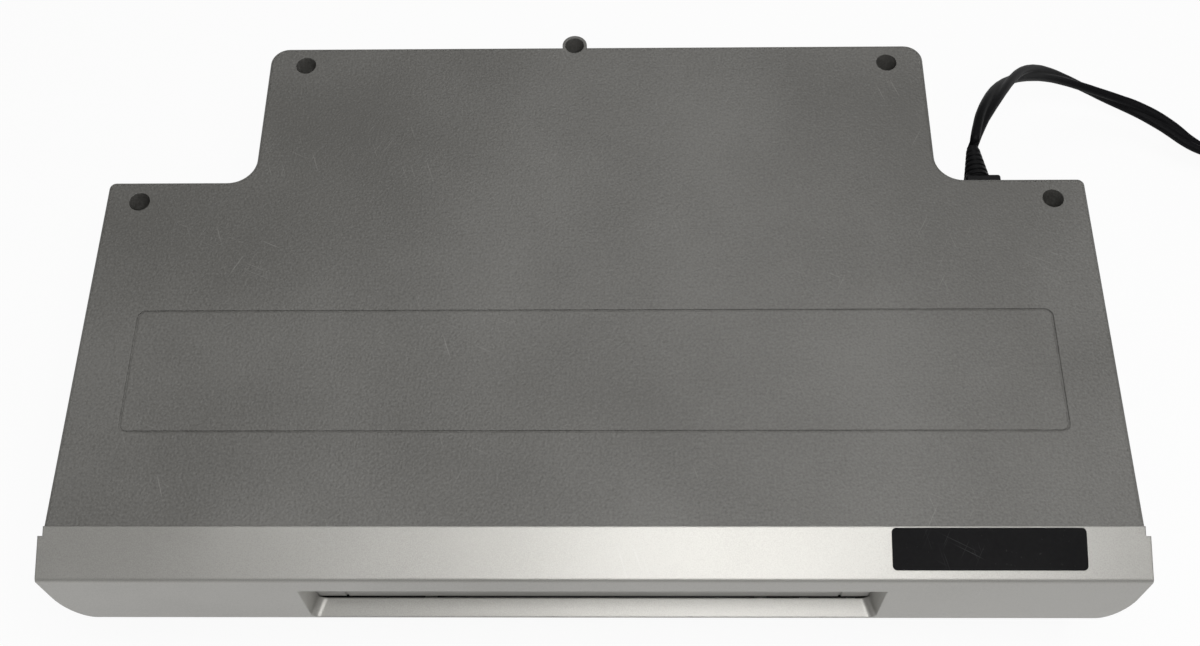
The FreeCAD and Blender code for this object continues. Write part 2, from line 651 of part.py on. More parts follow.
def make_front_panel():
    """The front panel: sloped top strip, upright fascia with the cassette slot, leaning lower panel."""
    wall = S.bezel_wall
    body = DOC.addObject("PartDesign::Body", "FrontBody")
    profile = [(SEAM, TOP), (FRONT, TOP - S.bezel_drop), (FRONT, FASCIA_BOTTOM),
               (FRONT + S.under_lip, FASCIA_BOTTOM), (SEAM - S.lower_panel_step, S.lower_panel_bottom),
               (SEAM, S.lower_panel_bottom)]
    pad(body, "FrontBlock", sketch(body, "FrontProfile", "YZ_Plane", [profile], -HALF_WIDTH), S.overall_width)
    fillet(body, "FrontEdge", S.bezel_edge_round,
           lambda middle, way: (near(middle.y, FRONT) and near(middle.z, TOP - S.bezel_drop)
                                and way.Length > 99))
    slope = root_of_squares(S.bezel_depth, S.bezel_drop) / S.bezel_depth
    top_drop = wall * slope
    lean = wall * PANEL_LENGTH / PANEL_RISE
    panel_slope = PANEL_RUN / PANEL_RISE
    inner = [(SEAM + 1.0, TOP - top_drop), (SEAM, TOP - top_drop),
             (FRONT + wall, TOP - top_drop - S.bezel_drop * (S.bezel_depth - wall) / S.bezel_depth),
             (FRONT + wall, SLOT_FLOOR),
             (FRONT + S.under_lip + lean - panel_slope * S.slot_floor_thickness, SLOT_FLOOR),
             (SEAM - S.lower_panel_step + lean - panel_slope * wall, S.lower_panel_bottom + wall),
             (SEAM + 1.0, S.lower_panel_bottom + wall)]
    hollows = []
    for name, half in (("Narrow", LOWER_HALF - wall), ("Wide", HALF_WIDTH - wall)):
        core = DOC.addObject("PartDesign::Body", name + "HollowBody")
        pad(core, name + "HollowPad", sketch(core, name + "HollowProfile", "YZ_Plane", [inner], -half),
            half * 2)
        hollows.append(core)
    shoulder = FASCIA_BOTTOM + S.fascia_corner_height + wall
    upper = common("UpperHollow", hollows[1], box("UpperZone", (-HALF_WIDTH, FRONT, shoulder),
                                                  (HALF_WIDTH, SEAM + 2.0, TOP)))
    cuts = [hollows[0], upper]
    for side in (-1, 1):
        name = "Left" if side < 0 else "Right"
        spans = [(LOWER_HALF, HALF_WIDTH + 1.0), (CASE_HALF, HALF_WIDTH + 1.0)]
        if side < 0:
            spans = [(-b, -a) for a, b in spans]
        (low, high), (step_low, step_high) = spans
        block = box(name + "CornerBlock", (low, FRONT - 1.0, FASCIA_BOTTOM - 1.0),
                    (high, SEAM - S.collar_depth, FASCIA_BOTTOM + S.fascia_corner_height))
        oval = DOC.addObject("Part::Ellipse", name + "CornerOval")
        bind(oval, "MajorRadius", S.fascia_corner_height)
        bind(oval, "MinorRadius", S.fascia_corner_width)
        oval.Placement = Placement(Vector(), Rotation(Vector(0, 0, 1), Vector(1, 0, 0), Vector(0, 1, 0),
                                                      "XYZ"))
        at(oval, side * LOWER_HALF, FRONT - 2.0, FASCIA_BOTTOM + S.fascia_corner_height)
        bar = DOC.addObject("Part::Extrusion", name + "CornerBar")
        bar.Base = oval
        bar.DirMode = "Custom"
        bar.Dir = Vector(0, 1, 0)
        bind(bar, "LengthFwd", S.bezel_depth + 2.0)
        bar.Solid = True
        cuts.append(cut(name + "Corner", block, bar))
        cuts.append(box(name + "LowerCut", (low, FRONT - 1.0, S.lower_panel_bottom - 1.0),
                        (high, SEAM - S.collar_depth, FASCIA_BOTTOM - 0.9)))
        cuts.append(box(name + "CollarStep", (step_low, SEAM - S.collar_depth, S.lower_panel_bottom - 1.0),
                        (step_high, SEAM + 1.0, TOP + 1.0)))
    shell = cut("FrontShell", body, *cuts)
    frame = box("SlotFrame", (-SLOT_HALF - S.slot_frame_wall, FRONT + wall / 2, FASCIA_BOTTOM + 0.5),
                (SLOT_HALF + S.slot_frame_wall, SLOT_BACK, SLOT_TOP + S.slot_frame_wall))
    ears = []
    for side in (-1, 1):
        low, high = (EAR_IN, EAR_OUT) if side > 0 else (-EAR_OUT, -EAR_IN)
        ear = box("Ear%d" % side, (low, FRONT + wall / 2, DOOR_AXIS_Z - S.door_ear_reach),
                  (high, DOOR_AXIS_Y + S.door_ear_reach, DOOR_AXIS_Z + S.door_ear_reach))
        bore = rod("EarBore%d" % side, (low - 1.0, DOOR_AXIS_Y, DOOR_AXIS_Z), S.door_ear + 2.0,
                   S.door_pin_radius + S.door_pin_gap, "x")
        ears.append((ear, bore))
    bosses = [rod("PanelBoss%d" % count, (x, wall / 2, S.panel_boss_height),
                  S.front_board_gap - wall / 2 - S.seat_gap,
                  S.panel_boss_radius, "y") for count, x in enumerate(PANEL_BOSSES)]
    solid = fuse("FrontSolid", shell, frame,
                 *([ear for ear, bore in ears] + [on_panel(group("PanelBosses", *bosses))]))
    wedge = DOC.addObject("Part::Wedge", "SlotWedge")
    flare = S.slot_taper / S.slot_recess
    fall = S.slot_floor_fall / S.slot_recess
    for prop, number in (("Xmin", -SLOT_HALF - flare), ("Xmax", SLOT_HALF + flare),
                         ("X2min", -SLOT_BACK_HALF),
                         ("X2max", SLOT_BACK_HALF), ("Ymin", -1.0), ("Ymax", S.slot_recess + 0.01),
                         ("Zmin", -S.slot_floor_fall - fall), ("Zmax", S.slot_clear_height), ("Z2min", 0.0),
                         ("Z2max", S.slot_clear_height)):
        bind(wedge, prop, number)
    at(wedge, 0.0, FRONT, SLOT_FLOOR)
    mouth = rounded("SlotMouth", wedge, 3.0,
                    lambda middle, way: middle.z < SLOT_FLOOR.value and abs(way.y) > 5)
    holes = [box("WindowHole", (-S.window_width / 2, -1.0, S.window_low),
                 (S.window_width / 2, wall + 2.0, S.window_low + S.window_height))]
    for name, x, low, tall in KEYS:
        gap = S.cap_gap
        holes.append(box("Hole_" + name, (x - S.cap_width / 2 - gap, -1.0, low - gap),
                         (x + S.cap_width / 2 + gap, wall + 2.0, low + tall + gap)))
    for count, x in enumerate(FRONT_JACKS):
        holes.append(rod("JackHole%d" % count, (x, -1.0, S.front_jack_height), wall + 2.0,
                         S.front_jack_radius + S.cap_gap, "y"))
    openings = on_panel(group("PanelHoles", *holes))
    return cut("FrontPanel", solid, mouth, openings, *[bore for ear, bore in ears])


def make_door():
    """The flap behind the slot: a plate with a knuckle and two pins along its top edge."""
    plate = box("DoorPlate", (-DOOR_HALF, DOOR_FRONT, SLOT_FLOOR + S.door_foot_gap),
                (DOOR_HALF, DOOR_FRONT + S.door_thickness, DOOR_AXIS_Z))
    knuckle = rod("DoorKnuckle", (-DOOR_HALF, DOOR_AXIS_Y, DOOR_AXIS_Z), DOOR_HALF * 2,
                  S.door_knuckle_radius, "x")
    pin = rod("DoorPin", (-EAR_OUT - 0.5, DOOR_AXIS_Y, DOOR_AXIS_Z), EAR_OUT * 2 + 1.0, S.door_pin_radius,
              "x")
    grooves = [box("DoorGroove%d" % side, (side * S.door_groove_x - S.door_groove_width / 2, DOOR_FRONT - 1.0,
                                           SLOT_FLOOR - 1.0),
                   (side * S.door_groove_x + S.door_groove_width / 2, DOOR_FRONT + S.door_groove_sink,
                    SLOT_TOP)) for side in (-1, 1)]
    return cut("Door", fuse("DoorBody", plate, knuckle, pin), *grooves)


def make_keys():
    """Eight push buttons with their flanges and stems."""
    back = S.front_board_gap - S.switch_depth - S.plunger_reach
    for name, x, low, tall in KEYS:
        cap = box(name + "_cap", (x - S.cap_width / 2, -S.cap_proud, low),
                  (x + S.cap_width / 2, S.bezel_wall + S.cap_gap + S.cap_flange, low + tall))
        soft = rounded(name + "_soft", cap, S.cap_round, lambda middle,
                       way: near(middle.y, -S.cap_proud.value))
        margin = S.cap_margin
        flange = box(name + "_flange", (x - S.cap_width / 2 - margin, S.bezel_wall + S.cap_gap, low - margin),
                     (x + S.cap_width / 2 + margin, S.bezel_wall + S.cap_gap + S.cap_flange,
                      low + tall + margin))
        middle = low + tall / 2
        stem = box(name + "_stem", (x - S.stem_width / 2, S.bezel_wall, middle - S.stem_width / 2),
                   (x + S.stem_width / 2, back - S.key_slack, middle + S.stem_width / 2))
        node(name, on_panel(fuse(name + "_solid", soft, flange, stem)))


def make_front_board():
    """The board behind the lower panel, with its switches, display and jacks."""
    gap = S.front_board_gap
    reach = HALF_WIDTH - S.front_board_side
    board = box("FrontBoard", (-reach, gap, S.front_board_low),
                (reach, gap + S.board_thickness, S.front_board_high))
    node("front_board", on_panel(board))
    switches = []
    for name, x, low, tall in KEYS:
        middle, half = low + tall / 2, S.switch_width / 2
        base = box("Switch_" + name, (x - half, gap - S.switch_depth, middle - half),
                   (x + half, gap, middle + half))
        plunger = rod("Plunger_" + name, (x, gap - S.switch_depth - S.plunger_reach, middle),
                      S.plunger_reach + 1.0, S.plunger_radius, "y")
        switches.append(fuse("SwitchBody_" + name, base, plunger))
    node("tact_switches", on_panel(group("Switches", *switches)))
    half = S.window_width / 2 - S.display_inset
    display = box("Display", (-half, S.bezel_wall + S.display_gap, S.window_low + S.display_sill),
                  (half, gap - S.seat_gap, S.window_low + S.window_height - S.display_head))
    node("display_module", on_panel(display))
    pane_gap = S.window_gap
    pane = box("WindowPane", (-S.window_width / 2 + pane_gap, 0.0, S.window_low + pane_gap),
               (S.window_width / 2 - pane_gap, S.window_thickness, S.window_low + S.window_height - pane_gap))
    node("display_window", on_panel(pane))
    jacks = []
    for count, x in enumerate(FRONT_JACKS):
        height = S.front_jack_height
        half = S.front_jack_block / 2
        sleeve = rod("FrontJackSleeve%d" % count, (x, -S.front_jack_proud, height),
                     gap + S.front_jack_proud - S.seat_gap, S.front_jack_radius, "y")
        block = box("FrontJackBlock%d" % count, (x - half, S.bezel_wall + 1.0, height - half),
                    (x + half, gap - S.seat_gap, height + half))
        bore = rod("FrontJackBore%d" % count, (x, -S.front_jack_proud - 1.0, height),
                   S.front_jack_bore_depth + 1.0,
                   S.front_jack_bore, "y")
        jacks.append(cut("FrontJack%d" % count, fuse("FrontJackBody%d" % count, sleeve, block), bore))
    node("front_jacks", on_panel(group("FrontJacks", *jacks)))


S.set(label_side=83.0, label_width=62.4, label_depth=13.6, label_gap=0.5, label_thickness=0.25,
      label_round=1.5)


def make_label():
    """The blank label plate on the sloped top strip."""
    plate = box("LabelPlate", (0.0, 0.0, 0.0), (S.label_width, S.label_depth, S.label_thickness))
    soft = rounded("Label", plate, S.label_round, lambda middle, way: upright(way))
    angle = slope_angle(S.bezel_drop, S.bezel_depth)
    slope = root_of_squares(S.bezel_depth, S.bezel_drop)
    along = (S.label_depth + S.label_gap) / slope
    tilt(soft, (1, 0, 0), angle)
    return at(soft, HALF_WIDTH - S.label_side, SEAM - S.bezel_depth * along, TOP - S.bezel_drop * along)


S.set(bushing_side=18.2, bushing_z=80.0, bushing_neck=4.1)
BUSHING = (NARROW_HALF + S.bushing_side, WIDE_REAR, S.bushing_z)


def bushing_hole():
    """The hole for the neck of the cord bushing."""
    x, y, z = BUSHING
    return rod("BushingHole", (x, y - S.case_wall - 1.0, z), S.case_wall + 2.0,
               S.bushing_neck + S.socket_gap, "y")


case_body = make_top_case()
node("top_case", cut("TopCase", case_body, jack_window("CaseJackWindow", S.window_gap), bushing_hole()))
chassis_body = make_bottom_chassis()
node("bottom_chassis", cut("BottomChassis", chassis_body, jack_window("ChassisJackWindow", S.window_gap),
                           chassis_front()))
case_screws, small_screws = make_screws()
node("case_screws", case_screws)
node("small_screws", small_screws)
node("bottom_plate", make_hatch())
node("feet", make_feet())
node("front_panel", make_front_panel())
node("cassette_door", make_door())
make_keys()
make_front_board()
node("blank_label", make_label())
S.set(jack_depth=1.5, phono_radius=4.15, phono_bore=1.6, phono_reach=9.0, phono_shift=6.0, phono_low=22.0,
      phono_pitch=14.0, phono_block_half=6.5, phono_block_depth=12.0, phono_block_above=7.0,
      phono_shoulder=5.0,
      coax_radius=4.7, coax_bore=1.0, coax_reach=10.0, coax_shift=6.5, coax_low=25.0, coax_pitch=20.0,
      coax_shoulder=5.6, shoulder_height=0.9, tuner_width=10.4, tuner_length=65.0, tuner_top=54.0)
S.set(knob_low=58.4, knob_width=3.4, knob_height=4.0, knob_travel=3.2, knob_reach=4.0, knob_depth=3.6,
      knob_slot_depth=4.0, knob_end_gap=0.4, knob_round=0.5, housing_half=4.0, housing_wall=2.5,
      housing_depth=6.0)
S.set(bushing_flange=6.2, bushing_flange_thickness=2.4,
      bushing_block=9.1, bushing_left=4.7, bushing_right=8.2, bushing_down=5.0, bushing_up=3.5,
      relief_length=14.1, relief_first=4.75, relief_last=2.3, relief_rib=1.2, relief_pitch=2.3,
      relief_core=0.7)
PLATE_FRONT = WIDE_REAR - S.running_gap - S.jack_depth
PLATE_BACK = WIDE_REAR - S.running_gap
COAX_X = JACK_X - S.coax_shift
TUNER_RIGHT = COAX_X + S.tuner_width / 2


def make_main_board():
    """The stepped main board on its posts."""
    body = DOC.addObject("PartDesign::Body", "BoardBody")
    wide, slim = CASE_HALF - S.board_side, NARROW_HALF - S.board_narrow_side
    front, shoulder = SEAM + S.board_front_gap, WIDE_REAR - S.board_shoulder_gap
    rear = NARROW_REAR - S.board_rear_gap
    loop = [(-wide, front), (wide, front), (wide, shoulder), (slim, shoulder),
            (slim, rear), (-slim, rear), (-slim, shoulder), (-wide, shoulder)]
    pad(body, "BoardPad", sketch(body, "BoardOutline", "XY_Plane", [loop], S.board_bottom), S.board_thickness)
    for name, centres, radius in (("Posts", WELLS[:2], S.post_radius),
                                  ("Decks", DECK_POSTS, S.deck_post_radius)):
        holes = circles(body, "Board" + name, centres, radius + S.running_gap, S.board_bottom)
        pocket(body, "Board%sPocket" % name, holes, S.board_thickness + 1.0, True)
    screws = circles(body, "BoardScrewHoles", BOARD_POSTS, PILOT_RADIUS, S.board_bottom)
    pocket(body, "BoardScrewPocket", screws, S.board_thickness + 1.0, True)
    return body


S.set(cap_tall=25.0, cap_radius=8.0, cap_small_radius=5.0, cap_small_tall=14.0, cap_side=48.4,
      cap_front=-52.0,
      cap_outer_side=26.4, cap_outer_front=-40.0, cap_left_rear=5.0, cap_left_front=-20.0,
      sink_width=30.0, sink_depth=4.0, sink_height=32.0, sink_side=58.4, sink_front=-20.0,
      chip_width=28.0, chip_depth=12.0, chip_height=3.0, chip_side=40.4, chip_front=-72.0, chip_pitch=20.0)


def make_components():
    """The larger components of the main board: four capacitors, a heat sink and two chips."""
    top = BOARD_TOP
    left = S.cap_side - CASE_HALF
    cans = [(CASE_HALF - S.cap_side, S.cap_front, S.cap_tall, S.cap_radius),
            (CASE_HALF - S.cap_outer_side, S.cap_outer_front, S.cap_small_tall, S.cap_small_radius),
            (left, S.cap_left_rear, S.cap_small_tall, S.cap_small_radius),
            (left, S.cap_left_front, S.cap_small_tall, S.cap_small_radius)]
    parts = [rod("Capacitor%d" % count, (x, y, top), tall, radius) for count,
             (x, y, tall, radius) in enumerate(cans)]
    sink_x, chip_x = CASE_HALF - S.sink_side, S.chip_side - CASE_HALF
    parts.append(box("HeatSink", (sink_x, S.sink_front, top),
                     (sink_x + S.sink_depth, S.sink_front + S.sink_width, top + S.sink_height)))
    for count in range(2):
        front = S.chip_front + S.chip_pitch * count
        parts.append(box("Chip%d" % count, (chip_x, front, top),
                         (chip_x + S.chip_width, front + S.chip_depth, top + S.chip_height)))
    return group("Components", *parts)


S.set(core_side=28.4, core_y=-10.0, core_width=36.0, core_depth=18.0, core_height=30.0, coil_width=25.0,
      coil_depth=32.0, coil_height=19.0)


def make_transformer():
    """The mains transformer: core, coil former and lugs."""
    x, y, low = CASE_HALF - S.core_side, S.core_y, BOARD_TOP
    core = box("Core", (x - S.core_width / 2, y - S.core_depth / 2, low),
               (x + S.core_width / 2, y + S.core_depth / 2, low + S.core_height))
    middle = low + S.core_height / 2
    coil = box("Coil", (x - S.coil_width / 2, y - S.coil_depth / 2, middle - S.coil_height / 2),
               (x + S.coil_width / 2, y + S.coil_depth / 2, middle + S.coil_height / 2))
    return fuse("Transformer", core, coil)


def socket_row(name, x, low, pitch, count, radius, shoulder, reach, bore):
    """Round sockets in a column: barrels with shoulders outside the plate, bores, and the plate's holes."""
    face = PLATE_FRONT - S.seat_gap
    barrels, bores, holes = [], [], []
    for index in range(count):
        z = low + pitch * index
        barrels.append(rod("%s%d" % (name, index), (x, face - 1.0, z),
                           reach + S.jack_depth + S.seat_gap + 1.0,
                           radius, "y"))
        barrels.append(rod("%sShoulder%d" % (name, index), (x, PLATE_BACK + S.seat_gap, z), S.shoulder_height,
                           shoulder, "y"))
        bores.append(rod("%sBore%d" % (name, index), (x, PLATE_FRONT, z), reach + S.jack_depth + 2.0, bore,
                         "y"))
        holes.append(rod("%sHole%d" % (name, index), (x, PLATE_FRONT - 1.0, z), S.jack_depth + 2.0,
                         radius + S.socket_gap, "y"))
    return barrels, bores, holes


def make_rear_sockets():
    """The tuner can with two aerial sockets, four round sockets in a column, and their plate."""
    gap = S.window_gap
    phono_x, knob_x = JACK_X + S.phono_shift, COAX_X
    plate = box("JackPlateSheet", (JACK_LOW + gap, PLATE_FRONT, S.jack_opening_bottom + gap),
                (JACK_HIGH - gap, PLATE_BACK, S.jack_opening_top - gap))
    face = PLATE_FRONT - S.seat_gap
    can = box("TunerCan", (COAX_X - S.tuner_width / 2, face - S.tuner_length, BOARD_TOP),
              (TUNER_RIGHT, face, S.tuner_top))
    coax, coax_bores, coax_holes = socket_row("Coax", COAX_X, S.coax_low, S.coax_pitch, 2, S.coax_radius,
                                              S.coax_shoulder, S.coax_reach, S.coax_bore)
    phono, phono_bores, phono_holes = socket_row("Phono", phono_x, S.phono_low, S.phono_pitch, 4,
                                                 S.phono_radius,
                                                 S.phono_shoulder, S.phono_reach, S.phono_bore)
    block = box("PhonoBlock", (phono_x - S.phono_block_half, face - S.phono_block_depth, BOARD_TOP),
                (phono_x + S.phono_block_half, face, S.phono_low + S.phono_pitch * 3 + S.phono_block_above))
    low, high = S.knob_low - S.knob_end_gap, S.knob_low + S.knob_height + S.knob_travel + S.knob_end_gap
    half = S.knob_width / 2 + gap
    slot = box("KnobSlot", (knob_x - half, PLATE_FRONT - S.knob_slot_depth, low),
               (knob_x + half, PLATE_BACK + 1.0, high))
    housing = box("KnobHousing", (knob_x - S.housing_half, face - S.housing_depth, low - S.housing_wall),
                  (knob_x + S.housing_half, face, high + S.housing_wall))
    knob = box("Knob", (knob_x - S.knob_width / 2, PLATE_FRONT - S.knob_depth, S.knob_low),
               (knob_x + S.knob_width / 2, PLATE_BACK + S.knob_reach, S.knob_low + S.knob_height))
    sockets = cut("PhonoSockets", fuse("PhonoBody", block, *phono), *phono_bores)
    node("jack_plate", cut("JackPlate", plate, slot, *(phono_holes + coax_holes)))
    node("tuner_box", cut("Tuner", fuse("TunerBody", can, *coax), *coax_bores))
    node("rear_jacks", group("RearJacks", sockets, cut("SwitchHousing", housing, slot)))
    node("channel_switch", rounded("ChannelSwitch", knob, S.knob_round,
                                   lambda middle, way: near(middle.y, (PLATE_BACK + S.knob_reach).value)))


def make_bushing():
    """The strain relief: inner flange, neck through the case wall, block and ribbed cone."""
    x, y, z = BUSHING
    inner = y - S.case_wall - S.seat_gap
    flange = rod("BushingFlange", (x, inner - S.bushing_flange_thickness, z), S.bushing_flange_thickness,
                 S.bushing_flange, "y")
    neck = rod("BushingNeck", (x, inner - 1.0, z), S.case_wall + S.seat_gap + 2.0, S.bushing_neck, "y")
    block = rounded("BushingBlock", box("BushingBrick", (x - S.bushing_left, y + S.seat_gap,
                                                         z - S.bushing_down),
                                        (x + S.bushing_right, y + S.bushing_block, z + S.bushing_up)), 1.0,
                    lambda middle, way: middle.y > (y + 1.0).value)
    start = y + S.bushing_block
    drop = (S.relief_first - S.relief_last) / S.relief_length
    core = cone("ReliefCore", (x, start - 0.5, z), S.relief_length + 0.5, S.relief_first - S.relief_core,
                S.relief_last - S.relief_core / 4, "y")
    ribs = []
    for count in range(6):
        along = S.relief_pitch * count
        ribs.append(cone("ReliefRib%d" % count, (x, start + along, z), S.relief_rib,
                         S.relief_first - drop * along,
                         S.relief_first - drop * (along + S.relief_rib), "y"))
    return fuse("Bushing", flange, neck, block, core, *ribs)


S.set(drum_y=50.0, drum_lean=5.96, drum_radius=31.0, drum_collar=33.4, drum_collar_height=4.0,
      drum_lower=16.5,
      drum_gap=0.3, drum_upper=13.7, drum_shaft=3.0, shaft_gap=0.05, drum_motor_radius=20.0,
      drum_motor_height=11.0)
S.set(arm_ring_radius=37.0, arm_ring_gap=0.08, arm_ring_thickness=1.4, arm_level=0.3, arm_lug=54.0,
      arm_lug_width=8.0,
      arm_post_at=50.0, arm_post_radius=1.8, arm_post_top=58.0, arm_roller_radius=3.0, arm_roller_low=38.0,
      arm_roller_high=56.0, supply_arm_rest=245.0, takeup_arm_rest=295.0)
S.set(capstan_x=60.0, capstan_y=19.0, capstan_shaft=1.5, capstan_top=58.0, flywheel_radius=26.0,
      flywheel_low=20.0,
      flywheel_high=26.2, pulley_radius=8.0, pulley_low=15.5, pulley_high=19.5, stator_thickness=1.5,
      bearing_radius=4.0, bearing_top=37.0)
S.set(clutch_y=-30.0, clutch_radius=16.0, clutch_low=15.8, clutch_high=19.2, clutch_shaft=2.0,
      clutch_hub=14.7,
      clutch_hub_low=31.0, clutch_hub_high=34.0, clutch_top=37.5, belt_gap=0.3, belt_thickness=0.8,
      belt_low=16.6,
      belt_high=18.6)
S.set(idler_length=24.0, idler_radius=9.0, idler_pin=1.5, idler_arm_low=34.4, idler_arm_high=36.4,
      idler_arm_width=6.0, reel_x=46.0, reel_y=-51.0, reel_radius=21.5, reel_low=31.0, reel_rim=4.0,
      reel_hub_radius=10.0, reel_hub=3.0, reel_spindle=4.0, reel_top=50.0, reel_spline=1.4, reel_pin=1.5,
      reel_pin_top=45.0)
S.set(pinch_x=84.0, pinch_y=43.0, pinch_pin=2.0, roller_rest_x=78.6, roller_rest_y=17.3, roller_radius=7.0,
      roller_low=37.0, roller_high=56.0, roller_pin=1.5, pinch_low=31.0, pinch_high=33.0, pinch_width=8.0)
S.set(cam_x=-70.0, cam_y=55.0, gear_module=1.0, cam_teeth=48.0, pinion_teeth=12.0, gear_low=22.0,
      gear_high=27.5,
      cam_pin=2.0, cam_pin_head=3.5, pinion_shaft=1.0, motor_radius=12.0, motor_top=60.0, gear_backlash=0.22)
S.set(bracket_in=99.0, bracket_thickness=1.2, bracket_front=-86.0, bracket_rear=14.0, bracket_top=84.0,
      bracket_foot=107.0, foot_front=-60.0, foot_rear=-10.0, slide_travel=45.0, drop_travel=18.0,
      pin_front=-80.0, pin_rear=-52.0, pin_height=66.0, pin_radius=1.5, pin_reach=102.0, slot_play=0.05,
      slider_in=97.3, slider_thickness=1.2, slider_rear=-46.0, slider_low=42.0, slider_high=79.0,
      guide_height=75.5, guide_radius=1.4, cross_y=-48.0, cross_z=86.5, cross_radius=1.5,
      tray_side=95.0, tray_wall=1.5, tray_front=-96.0, tray_rear=-36.0, tray_floor=51.0, tray_sheet=1.0,
      tray_ledge=78.0, tray_roof=80.0, roof_sheet=1.2, roof_front=-70.0)
DRUM = (0.0, S.drum_y, DECK_TOP)
CAPSTAN = (S.capstan_x, S.capstan_y)
CLUTCH = (0.0, S.clutch_y)
REELS = [(-S.reel_x, S.reel_y), (S.reel_x, S.reel_y)]
CAM = (S.cam_x, S.cam_y)
GEAR_REACH = S.gear_module * (S.cam_teeth + S.pinion_teeth) / 2
DIAGONAL = math.sqrt(0.5)
PINION = (S.cam_x - GEAR_REACH * DIAGONAL, S.cam_y + GEAR_REACH * DIAGONAL)
PIN_BORE = S.reel_pin + S.shaft_gap


def upright_pin(name, centre, low, high, radius):
    """A pin that stands upright."""
    return rod(name, (centre[0], centre[1], low), high - low, radius)


def make_deck():
    """The steel deck plate with its holes, bosses and riveted pins."""
    plate = box("DeckSheet", (-S.deck_half, S.deck_front, S.deck_bottom),
                (S.deck_half, S.deck_rear, DECK_TOP))
    holes = [upright_pin("DeckHole%d" % count, centre, S.deck_bottom - 1.0, DECK_TOP + 1.0, PILOT_RADIUS)
             for count, centre in enumerate(DECK_POSTS)]
    holes.append(upright_pin("CapstanHole", CAPSTAN, S.deck_bottom - 1.0, DECK_TOP + 1.0,
                             S.bearing_radius + S.seat_gap))
    holes.append(upright_pin("ClutchHole", CLUTCH, S.deck_bottom - 9.0, DECK_TOP + 9.0,
                             S.clutch_shaft + S.shaft_gap))
    holes.append(upright_pin("MotorHole", PINION, S.deck_bottom - 1.0, DECK_TOP + 1.0, 3.1))
    extra = [upright_pin("ClutchBoss", CLUTCH, S.deck_bottom - 4.0, S.clutch_hub_low - S.running_gap, 5.0),
             upright_pin("PinchPin", (S.pinch_x, S.pinch_y), S.deck_bottom, S.pinch_high + 1.0, S.pinch_pin),
             upright_pin("PinchBoss", (S.pinch_x, S.pinch_y), S.deck_bottom, S.pinch_low - S.running_gap,
                         4.0),
             upright_pin("CamPin", CAM, S.gear_low - S.running_gap - 0.5, S.deck_bottom + 0.5, S.cam_pin),
             upright_pin("CamPinHead", CAM, S.gear_low - S.running_gap - 1.2, S.gear_low - S.running_gap,
                         S.cam_pin_head)]
    for count, centre in enumerate(REELS):
        extra.append(upright_pin("ReelPin%d" % count, centre, S.deck_bottom, S.reel_pin_top, S.reel_pin))
        extra.append(upright_pin("ReelBoss%d" % count, centre, S.deck_bottom, S.reel_low - S.running_gap,
                                 4.0))
    return cut("Deck", fuse("DeckBody", plate, *extra), *holes)


def lean(thing):
    """Tilt an object as the drum leans, and put it at the drum's place."""
    return at(tilt(thing, (0, 1, 0), -S.drum_lean), *DRUM)


def make_drum():
    """The leaning drum: fixed lower half with collar and shaft, turning upper half, and its motor."""
    slug = lean(fuse("LowerSlug", rod("LowerRod", (0.0, 0.0, -10.0), S.drum_lower + 10.0, S.drum_radius),
                      rod("DrumShaft", (0.0, 0.0, S.drum_lower - 1.0), S.drum_upper + 3.0, S.drum_shaft)))
    reach = S.drum_collar + 5.0
    zone = box("DrumZone", (-reach, S.drum_y - reach, DECK_TOP), (reach, S.drum_y + reach, DECK_TOP + 50.0))
    collar = rod("DrumCollar", DRUM, S.drum_collar_height, S.drum_collar)
    node("lower_drum", fuse("LowerDrum", common("LowerSlugCut", slug, zone), collar))
    start = S.drum_lower + S.drum_gap
    upper = tube("UpperDrum", (0.0, 0.0, start), S.drum_upper, S.drum_radius, S.drum_shaft + S.shaft_gap)
    node("upper_drum", lean(group("UpperDrumLean", upper)))
    node("drum_motor", rod("DrumMotor", (0.0, S.drum_y, S.deck_bottom - S.drum_motor_height),
                           S.drum_motor_height,
                           S.drum_motor_radius))


def make_guide_arm(name, level, angle):
    """A tape guide arm: ring round the drum collar, arm, and the post with its roller."""
    low = DECK_TOP + S.arm_level + (S.arm_ring_thickness + S.arm_level) * level
    ring = tube(name + "_ring", (0.0, 0.0, low), S.arm_ring_thickness, S.arm_ring_radius,
                S.drum_collar + S.arm_ring_gap)
    lug = box(name + "_lug", (S.arm_ring_radius - 1.5, -S.arm_lug_width / 2, low),
              (S.arm_lug, S.arm_lug_width / 2, low + S.arm_ring_thickness))
    post = rod(name + "_post", (S.arm_post_at, 0.0, low), S.arm_post_top - low, S.arm_post_radius)
    roller = rod(name + "_roller", (S.arm_post_at, 0.0, S.arm_roller_low),
                 S.arm_roller_high - S.arm_roller_low,
                 S.arm_roller_radius)
    arm = fuse(name + "_arm", ring, lug, post, roller)
    node(name, at(tilt(arm, (0, 0, 1), angle), 0.0, S.drum_y, 0.0))


